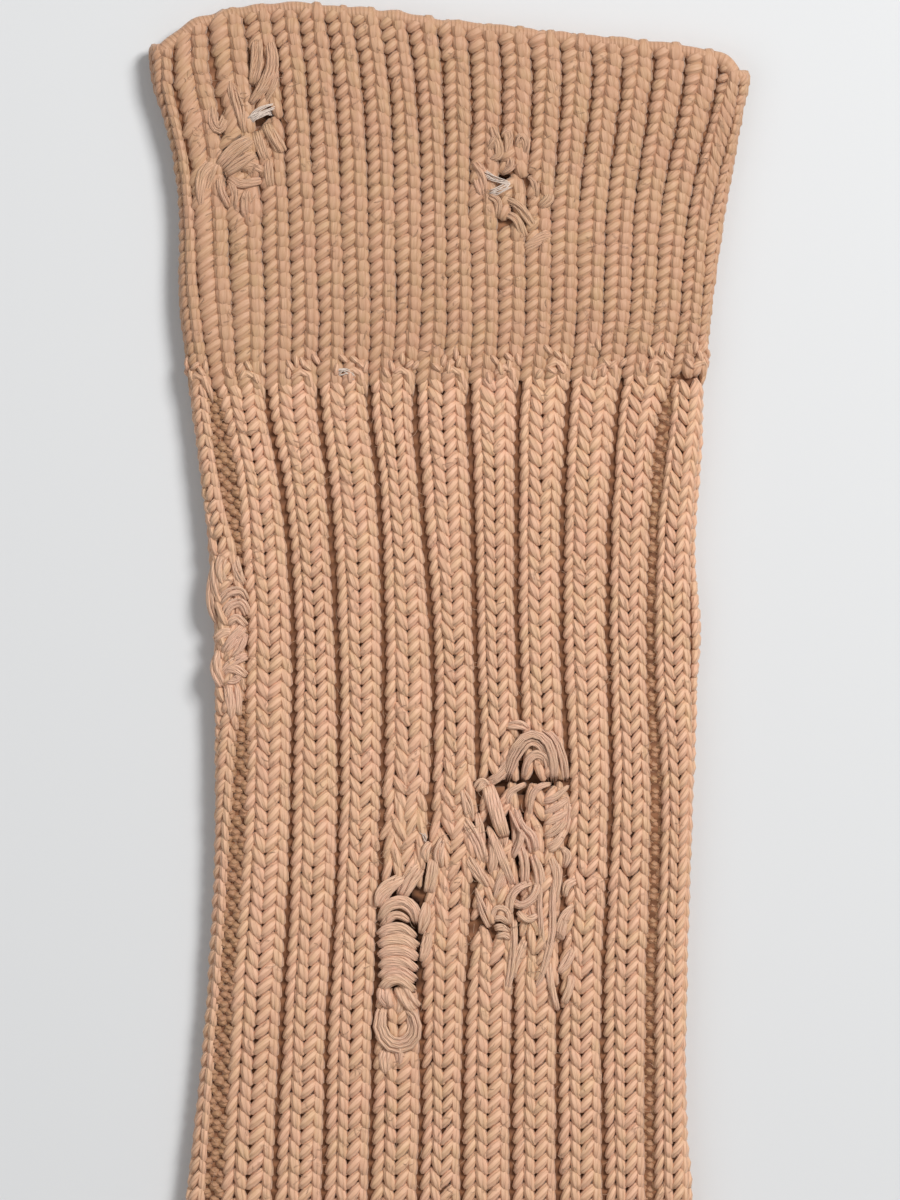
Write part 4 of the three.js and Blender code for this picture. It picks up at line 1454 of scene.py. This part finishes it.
# %% [markdown]
# ## The snag on the left fold
# The fold has caught, and a loop of yarn stands out past the outline. The lowest bundles wrap the
# first rib.

# %% The snag on the left fold
FOLD_SNAG = [
    (4, 1.2, 1.9, 0.4, [(-41.6, 98.4), (-43.0, 103.0), (-43.4, 107.2), (-42.7, 110.6), (-41.2, 112.8)]),
    (5, 1.9, 1.0, 0.4, [(-41.2, 99.6), (-42.2, 104.0), (-42.4, 108.0), (-41.4, 112.4)]),
    (4, 1.5, 2.6, 0.5, [(-42.4, 100.4), (-42.4, 104.4), (-41.6, 108.4)]),
    (4, 1.6, 2.8, 0.5, [(-40.8, 99.4), (-41.4, 102.4), (-40.4, 105.8)]),
    (4, 1.6, 2.9, 0.5, [(-38.8, 100.0), (-38.2, 102.8), (-37.0, 105.4)]),
    (5, 1.7, 3.0, 0.5, [(-41.8, 109.0), (-40.0, 106.8), (-37.6, 106.4), (-36.4, 108.4)]),
    (5, 1.7, 3.0, 0.5, [(-41.0, 111.8), (-39.8, 109.2), (-37.6, 108.6), (-36.4, 111.2)]),
    (4, 1.5, 2.9, 0.5, [(-40.2, 112.8), (-38.4, 111.2), (-36.6, 112.8)]),
    (4, 1.7, 3.0, 0.5, [(-41.0, 118.0), (-39.0, 115.0), (-37.2, 112.4)]),
    (4, 1.5, 3.0, 0.5, [(-39.6, 118.6), (-38.0, 116.4), (-36.8, 113.8)]),
    (3, 1.4, 2.6, 0.4, [(-42.4, 115.4), (-40.6, 113.9), (-38.8, 113.6)]),
    (4, 1.6, 2.8, 0.5, [(-41.8, 116.8), (-42.2, 120.2), (-40.8, 123.8)]),
    (4, 1.4, 3.0, 0.1, [(-41.2, 121.8), (-39.0, 119.2), (-36.4, 117.8)]),
    (3, 1.2, 3.0, 0.1, [(-40.8, 120.6), (-38.6, 120.4), (-36.6, 121.8)]),
    (3, 1.2, 2.9, 0.2, [(-40.6, 122.4), (-38.6, 122.4), (-36.8, 120.8)]),
    (3, 1.3, 2.9, 0.5, [(-40.2, 122.8), (-39.6, 126.6), (-39.4, 129.8)]),
    (3, 1.3, 2.8, 0.5, [(-38.8, 122.8), (-38.2, 126.0), (-38.0, 129.0)]),
]

print("bundles on the left fold:", len(FOLD_SNAG))

# %% [markdown]
# ## Laying the bundles
# The bundles of the cuff become one piece and those of the leg another, because the cuff's yarn is
# darker.

# %% Lay the loose bundles
knits["cuff_loose"] = joined([bundle(*entry) for entry in CUFF_SNAG + MIDDLE_SNAG])
knits["leg_loose"] = joined([bundle(*entry) for entry in LEG_SNAG + LADDER + FOLD_SNAG])
for name in ("cuff_loose", "leg_loose"):
    print(f"{name}: {len(knits[name][1])} triangles worked out")

# %% [markdown]
# ## Wisps
# Where cotton has been rubbed, short pale fibres stand out of it. They are bundles as well, very
# thin and straying widely, and get a grey-white material.

# %% Wisps
WISP_RADIUS = 0.09
WISP_STRAY = 0.3
WISPS = [
    (9, 0.9, 3.3, 0.5, [(-36.6, 21.6), (-34.6, 20.2), (-31.0, 18.8)]),
    (6, 0.6, 3.2, 0.5, [(-36.2, 22.0), (-34.0, 20.8), (-32.0, 20.2)]),
    (8, 1.0, 3.3, 0.5, [(5.2, 30.6), (8.0, 32.2), (11.4, 33.0)]),
    (8, 1.0, 3.3, 0.5, [(6.8, 34.8), (8.8, 34.4), (11.2, 32.8)]),
    (5, 0.5, 3.2, 0.5, [(-21.4, 66.6), (-19.0, 66.6), (-16.8, 68.4)]),
    (4, 0.5, 3.1, 0.5, [(-20.6, 67.6), (-19.0, 67.0), (-17.6, 67.6)]),
    (4, 0.4, 3.0, 0.5, [(-5.6, 149.6), (-4.6, 150.6), (-4.2, 152.0)]),
]
knits["wisps"] = joined([bundle(*entry, thin=WISP_RADIUS, stray=WISP_STRAY) for entry in WISPS])
print("wisps of rubbed fibres:", len(WISPS))

# %% [markdown]
# ## Fuzz
# Worn cotton is never quite smooth: single fibres stand off the yarn, most of all round a snag. Each
# is a spindle with three sides, about as fine as a hair, bent over in its own direction.

# %% Fuzz
FUZZ_RADIUS = 0.05
FUZZ_LENGTH = (0.8, 2.4)
FUZZ_HEIGHT = 0.62  # of its ends above the middle of the stitches
FUZZ_ARCH = (0.15, 0.5)  # how much higher its middle is
FUZZ_BEND = 0.35
FUZZ_SHARE = 0.35  # share of the fibres that is kept in sound cloth
FUZZ_MARGIN = 1.5  # rows at the top and the bottom of a stretch without fuzz
ROW_HEIGHT = 2.4


def fuzz(plan, rows, count):
    """Stray fibres scattered over the upper panel.

    A fibre is kept where a random number is below a fixed share plus the slackness of the cloth. It
    rises out of the yarn and comes down again in an arch, and bends sideways like a piece of a sine."""
    row = rng.uniform(FUZZ_MARGIN, rows - FUZZ_MARGIN, count)
    width, _ = row_frame(plan, row)
    around = QUARTER + rng.uniform(0, 1, count) * (width - 2 * EDGE)
    spot, outward = on_tube(plan, row, around, YARN_HEIGHT)
    kept = rng.uniform(0, 1, count) < FUZZ_SHARE + slackness(spot, outward)
    kept &= ~missing(spot, outward)
    count = kept.sum()
    way = rng.uniform(0, 2 * np.pi, (count, 1))
    length = rng.uniform(*FUZZ_LENGTH, (count, 1))
    t = np.linspace(0, 1, 6)
    bend = FUZZ_BEND * np.sin(3 * t + rng.uniform(0, 6, (count, 1)))
    around = around[kept][:, None] + length * np.cos(way) * t + bend * np.sin(way)
    row = row[kept][:, None] + (length * np.sin(way) * t - bend * np.cos(way)) / ROW_HEIGHT
    height = YARN_HEIGHT + FUZZ_HEIGHT + rng.uniform(*FUZZ_ARCH, (count, 1)) * np.sin(np.pi * t)
    path, outward = on_tube(plan, row, around, height)
    thick = np.full((count, 4), FUZZ_RADIUS)
    return spindles(path, outward, thick, thick, 3, rng.uniform(0, 1, count))


knits["cuff_fuzz"] = fuzz(cuff_plan, CUFF_ROWS, 900)
knits["leg_fuzz"] = fuzz(leg_plan, LEG_ROWS, 2400)
for name in ("cuff_fuzz", "leg_fuzz"):
    print(f"{name}: {len(knits[name][1])} triangles worked out")

# %% [markdown]
# ## From arrays to pieces
# So far the knit is only arrays. Each set of arrays becomes one object, so the sock has some twenty
# objects and not tens of thousands.

# %% Every set of stitches becomes a piece
pieces = {name: build_mesh(name, *arrays) for name, arrays in knits.items()}
print("in all", sum(len(arrays[1]) for arrays in knits.values()), "triangles of yarn")

# %% [markdown]
# ## Nodes by name
# A material is a tree of nodes, and adding and linking them one by one is wordy. Four helpers keep
# it short: one makes any node and sets its sockets or settings by name, one does a sum and one mixes
# two colours, from plain values or the outputs of other nodes, and one starts a new material.

# %% Helpers for materials
def node(tree, kind, **values):
    """A new node, with each named value set on the socket, or else the setting, of that name."""
    made = tree.nodes.new(kind)
    for key, value in values.items():
        if key in made.inputs:
            made.inputs[key].default_value = value
        else:
            setattr(made, key, value)
    return made


def math_node(tree, operation, first, second=None):
    """Output of a Math node over numbers or other outputs."""
    made = tree.nodes.new("ShaderNodeMath")
    made.operation = operation
    for socket, value in zip(made.inputs, (first, second)):
        if isinstance(value, bpy.types.NodeSocket):
            tree.links.new(value, socket)
        elif value is not None:
            socket.default_value = value
    return made.outputs[0]


def mix_colour(tree, factor, first, second):
    """Output of a Mix node that goes from the first colour to the second."""
    made = tree.nodes.new("ShaderNodeMix")
    made.data_type = "RGBA"
    for name, value in (("Factor_Float", factor), ("A_Color", first), ("B_Color", second)):
        socket = next(item for item in made.inputs if item.identifier == name)
        if isinstance(value, bpy.types.NodeSocket):
            tree.links.new(value, socket)
        else:
            socket.default_value = value
    return next(item for item in made.outputs if item.identifier == "Result_Color")


def new_material(name, **values):
    """A new material, its node tree and its main shader, with plain values set on the sockets."""
    material = bpy.data.materials.new(name)
    material.use_nodes = True
    shader = material.node_tree.nodes["Principled BSDF"]
    for socket, value in values.items():
        shader.inputs[socket.replace("_", " ")].default_value = value
    return material, material.node_tree, shader


print("material helpers: node, math_node, mix_colour, new_material")

# %% [markdown]
# ## Yarn
# The yarn is soft cotton of several fine plies with a slight silky gloss. The plies are drawn along
# each length of yarn from its UV: a sine across V that drifts with U makes slanted lines, used both
# for painted shade in the gaps and as bump. Single fibres get painted highlights. The colour wanders
# from pinkish to straw from stitch to stitch.

# %% Yarn material
PLIES = 7
PLY_DRIFT = 1.1  # radians that the plies turn for each millimetre of yarn
PINKER = [1.02, 0.95, 1.03, 1]  # the colour's red, green and blue at one end of its wander
STRAWIER = [0.95, 1.05, 0.92, 1]  # and at the other
# Painted highlight: bright fibre streaks are mixed towards the yarn's colour times this tint.
FIBRE_HIGHLIGHT_TINT = [1.14, 1.2, 1.3, 1]  # of single fibres that catch the light
SHEEN_COLOUR = (1.0, 0.86, 0.76, 1)
BUMP_DEPTH = 0.00012  # metres


def yarn_material(name, light, dark):
    """Cotton yarn: plies and fibres from the UV, colour from the tone of the stitch and large blots.

    The angle round the yarn times the plies, plus a drift along it, is the ply coordinate. The
    absolute value of its sine is high on each ply and 0 between two. Noise that is stretched along
    the yarn and follows the same coordinate gives the single fibres."""
    material, tree, shader = new_material(
        name, Roughness=0.55, Specular_IOR_Level=0.45, Sheen_Weight=0.3, Sheen_Roughness=0.5,
        Sheen_Tint=SHEEN_COLOUR)
    uv = node(tree, "ShaderNodeUVMap", uv_map="yarn")
    split = tree.nodes.new("ShaderNodeSeparateXYZ")
    tree.links.new(uv.outputs[0], split.inputs[0])
    tone = node(tree, "ShaderNodeAttribute", attribute_name="tone")
    drift = math_node(tree, "MULTIPLY", split.outputs[0], PLY_DRIFT)
    turn = math_node(tree, "MULTIPLY", split.outputs[1], np.pi * PLIES)
    ply_at = math_node(tree, "ADD", turn, drift)
    ply = math_node(tree, "ABSOLUTE", math_node(tree, "SINE", ply_at))
    along = tree.nodes.new("ShaderNodeCombineXYZ")
    tree.links.new(math_node(tree, "MULTIPLY", split.outputs[0], 0.6), along.inputs[0])
    tree.links.new(math_node(tree, "MULTIPLY", ply_at, 1.3), along.inputs[1])
    tree.links.new(math_node(tree, "MULTIPLY", tone.outputs["Fac"], 40.0), along.inputs[2])
    streaks = node(tree, "ShaderNodeTexNoise", Scale=1.0, Detail=3.0)
    tree.links.new(along.outputs[0], streaks.inputs["Vector"])
    place = tree.nodes.new("ShaderNodeTexCoord")
    blots = node(tree, "ShaderNodeTexNoise", Scale=60.0, Detail=3.0)
    patches = node(tree, "ShaderNodeTexNoise", Scale=230.0, Detail=3.0)
    for noise in (blots, patches):
        tree.links.new(place.outputs["Object"], noise.inputs["Vector"])

    hue = node(tree, "ShaderNodeValToRGB")
    ramp = hue.color_ramp
    ramp.elements[0].color = np.array(light) * PINKER
    ramp.elements[1].color = np.array(light) * STRAWIER
    ramp.elements.new(0.5).color = light
    wander = math_node(tree, "MULTIPLY", tone.outputs["Fac"], 0.25)
    tree.links.new(math_node(tree, "ADD", patches.outputs[0], wander), hue.inputs[0])
    blotting = math_node(tree, "MULTIPLY", blots.outputs[0], 0.3)
    blotted = mix_colour(tree, blotting, hue.outputs[0], dark)
    # Painted highlight on the single fibres, where their streaks are bright.
    bright = math_node(tree, "MULTIPLY", math_node(tree, "SUBTRACT", streaks.outputs[0], 0.42), 3.0)
    bright.node.use_clamp = True
    pale = tuple(np.minimum(np.array(light) * FIBRE_HIGHLIGHT_TINT, 1))
    with_painted_highlights = mix_colour(tree, math_node(tree, "MULTIPLY", bright, 0.55), blotted, pale)
    # Painted shade in the gaps between the plies.
    gap = math_node(tree, "POWER", math_node(tree, "SUBTRACT", 1.0, ply), 2.0)
    shaded = mix_colour(tree, math_node(tree, "MULTIPLY", gap, 0.34), with_painted_highlights, dark)
    tree.links.new(shaded, shader.inputs["Base Color"])
    relief = math_node(tree, "ADD", ply, math_node(tree, "MULTIPLY", streaks.outputs[0], 1.6))
    bump = node(tree, "ShaderNodeBump", Strength=0.75, Distance=BUMP_DEPTH)
    tree.links.new(relief, bump.inputs["Height"])
    tree.links.new(bump.outputs[0], shader.inputs["Normal"])
    return material


# Painted shade between the plies, and the darker blots of dirt.
PLY_SHADE_AND_BLOT_BROWN = (0.30, 0.11, 0.035, 1)  # between the plies and in the blots
YARN_COLOURS = {
    "rib_yarn": (0.78, 0.47, 0.31, 1),
    "plain_yarn": (0.76, 0.455, 0.30, 1),
    "cuff_yarn": (0.59, 0.345, 0.215, 1),
    "rim_yarn": (0.57, 0.33, 0.205, 1),
    "loose_yarn": (0.83, 0.52, 0.37, 1),
    "cuff_loose_yarn": (0.67, 0.405, 0.265, 1),
    # The purl yarn is painted darker than the rib yarn: painted shade from the ribs over the furrows.
    "purl_yarn_painted_shade": (0.44, 0.235, 0.13, 1),
}
paints = {name: yarn_material(name, light, PLY_SHADE_AND_BLOT_BROWN) for name, light in YARN_COLOURS.items()}
print("yarns:", ", ".join(paints))

# %% [markdown]
# ## The inside of the cloth
# Between the stitches the backing shows as shade. It is the same cotton, painted darker as painted
# shade, with the level ridges of the knit's other face.

# %% Backing materials
def backing_material(name, light, dark):
    """The hidden face of the knit: the same cotton, painted darker as painted shade, with level purl
    ridges.
    """
    material, tree, shader = new_material(name, Roughness=0.8, Sheen_Weight=0.2)
    place = tree.nodes.new("ShaderNodeTexCoord")
    ridges = node(tree, "ShaderNodeTexWave", Scale=130.0, Distortion=3.0)
    ridges.bands_direction = "Y"
    tree.links.new(place.outputs["Object"], ridges.inputs["Vector"])
    colour = mix_colour(tree, ridges.outputs["Fac"], dark, light)
    tree.links.new(colour, shader.inputs["Base Color"])
    bump = node(tree, "ShaderNodeBump", Strength=0.8, Distance=0.0004)
    tree.links.new(ridges.outputs["Fac"], bump.inputs["Height"])
    tree.links.new(bump.outputs[0], shader.inputs["Normal"])
    return material


# Each backing is painted much darker than its yarn, as painted shade between the stitches and in the
# furrows.
BACKING_COLOURS = {  # ridges, and the shade between them
    "cuff_inside": ((0.33, 0.15, 0.07, 1), (0.22, 0.09, 0.04, 1)),
    "plain_inside": ((0.52, 0.29, 0.17, 1), (0.42, 0.21, 0.12, 1)),
    "inside_cloth": ((0.27, 0.115, 0.05, 1), (0.16, 0.062, 0.025, 1)),
}
for name, colours in BACKING_COLOURS.items():
    paints[name] = backing_material(name, *colours)
print("backings:", ", ".join(BACKING_COLOURS))

# %% [markdown]
# ## Rubbed fibres
# Rubbed fibres have lost most of their dye. They are matt and pale, with faint patches.

# %% Material of the rubbed fibres, and a helper that puts a material on a piece
def fibre_material(name, light, dark):
    """Pale rubbed fibres, patched with noise."""
    material, tree, shader = new_material(name, Roughness=0.8, Sheen_Weight=0.5)
    place = tree.nodes.new("ShaderNodeTexCoord")
    patches = node(tree, "ShaderNodeTexNoise", Scale=900.0, Detail=2.0)
    tree.links.new(place.outputs["Object"], patches.inputs["Vector"])
    tree.links.new(mix_colour(tree, patches.outputs[0], dark, light), shader.inputs["Base Color"])
    return material


paints["rubbed_fibre"] = fibre_material("rubbed_fibre", (0.72, 0.61, 0.53, 1), (0.60, 0.49, 0.42, 1))
print("materials in all:", len(paints))


def paint(piece, material):
    """The piece wears this material and no other."""
    piece.data.materials.clear()
    piece.data.materials.append(material)


# %% [markdown]
# ## Handing the pieces to the frame
# Each piece of knit and each backing rides on the sock's one body, and each backing stands for its
# CAD node, which is hidden.

# %% Ride, replace and slot
PLAIN_PARTS = ("heel", "sole", "toe")
# The backings' colours are painted shade: the same cotton, much darker than the yarn.
BACKING_PAINTS = {"cuff": "cuff_inside", "leg": "inside_cloth"}  # the others wear plain_inside
for part, piece in backings.items():
    paint(piece, paints[BACKING_PAINTS.get(part, "plain_inside")])
    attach(piece, "root")
    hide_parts(part)

OWN_PAINTS = {  # the others wear the yarn of their slot
    "wisps": "rubbed_fibre", "cuff_rim": "rim_yarn", "cuff_upper": "cuff_yarn",
    "cuff_lower": "cuff_yarn", "leg_purl": "purl_yarn_painted_shade", "cuff_loose": "cuff_loose_yarn",
    "leg_loose": "loose_yarn",
}
for name, piece in pieces.items():
    yarn_slot = "plain_yarn" if name.split("_")[0] in PLAIN_PARTS else "rib_yarn"
    paint(piece, paints[OWN_PAINTS.get(name, yarn_slot)])
    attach(piece, "root")
print(len(backings), "backings and", len(pieces), "pieces of knit ride on the sock")

# %% [markdown]
# ## Sheets of cloth
# The flat size that each sheet of cloth was made with is printed beside the area of one face of its
# backing. Instep, heel and toe aren't rectangles, so for them the area is given.

def half_surface(piece):
    """Area of one face of a thin closed wall in square metres: half of all its triangles."""
    mesh = piece.data
    area = np.empty(len(mesh.polygons))
    mesh.polygons.foreach_get("area", area)
    return area.sum() / 2


FLAT_SIZES = {  # width all round and length, in millimetres, and the area where it is no rectangle
    "cuff": (203, 66, None),
    "leg": (180, 153, None),
    "instep": (94, 150, 12200),
    "heel": (104, 130, 10400),
    "sole": (86, 80, None),
    "toe": (160, 44, 5900),
}
for part, (width, length, area) in FLAT_SIZES.items():
    knit = [piece for name, piece in pieces.items() if name.split("_")[0] == part]
    knit += [pieces["wisps"]] if part == "leg" else []
    measured = half_surface(backings[part]) / MM ** 2
    print(f"{part}: declared {area or width * length} mm2, measured {measured:.0f} mm2")

# %% Floor
VIEW_HEIGHT = 216.0  # height of the view at the top of the sock, which starts at the rim's top
centre = np.array([PLAN_ORIGIN[0], PLAN_ORIGIN[1] - VIEW_HEIGHT / 2]) * MM
bpy.ops.mesh.primitive_plane_add(size=4, location=(centre[0], centre[1], TABLE * MM))
floor = bpy.context.object
floor.name = "floor"
floor_paint, _, _ = new_material("floor_paint", Base_Color=(0.69, 0.71, 0.73, 1), Roughness=0.9)
paint(floor, floor_paint)
print("centre of the view, m:", centre.round(4))

# %% [markdown]
# ## Light
# One soft light from the upper right gives the small shadows in the furrows, and a weak one opposite
# and an even, slightly warm surrounding keep them from going black.

# %% Lights and surroundings
WARM_WHITE = (1, 0.98, 0.96)
SURROUND = 0.29  # strength of the light from all round


def area_light(name, offset, size, power, colour=(1, 1, 1)):
    """A square light at an offset from the picture's centre, turned to face it."""
    data = bpy.data.lights.new(name, "AREA")
    data.size = size
    data.energy = power
    data.color = colour
    light = bpy.data.objects.new(name, data)
    light.location = (centre[0] + offset[0], centre[1] + offset[1], offset[2])
    towards = np.array([centre[0], centre[1], 0]) - np.array(light.location)
    light.rotation_euler = Vector(towards).to_track_quat("-Z", "Y").to_euler()
    bpy.context.scene.collection.objects.link(light)
    print(f"{name} light: {power} W, {size} m wide, {np.linalg.norm(towards):.2f} m away")


area_light("key", (0.6, 0.5, 0.9), size=0.38, power=13.4, colour=WARM_WHITE)
area_light("fill", (-0.7, -0.2, 0.9), size=0.9, power=2.4)
world = bpy.data.worlds.new("studio")
world.use_nodes = True
background = world.node_tree.nodes["Background"]
background.inputs["Color"].default_value = (*WARM_WHITE, 1)
background.inputs["Strength"].default_value = SURROUND
bpy.context.scene.world = world
bpy.context.scene.view_settings.view_transform = "Standard"

# %% [markdown]
# ## Camera
# The camera looks straight down with a long lens, from the height at which the view is as tall as it
# should be at the top of the cloth.

# %% Camera
LENS = 120.0
camera_data = bpy.data.cameras.new("camera")
camera_data.lens = LENS
camera_data.sensor_fit = "VERTICAL"
camera_data.sensor_height = 36.0
camera = bpy.data.objects.new("camera", camera_data)
distance = LENS / camera_data.sensor_height * VIEW_HEIGHT * MM
camera.location = (centre[0], centre[1], distance + (TABLE + THICKNESS) * MM)
bpy.context.scene.collection.objects.link(camera)
bpy.context.scene.camera = camera
print(f"camera {distance:.3f} m above the cloth")
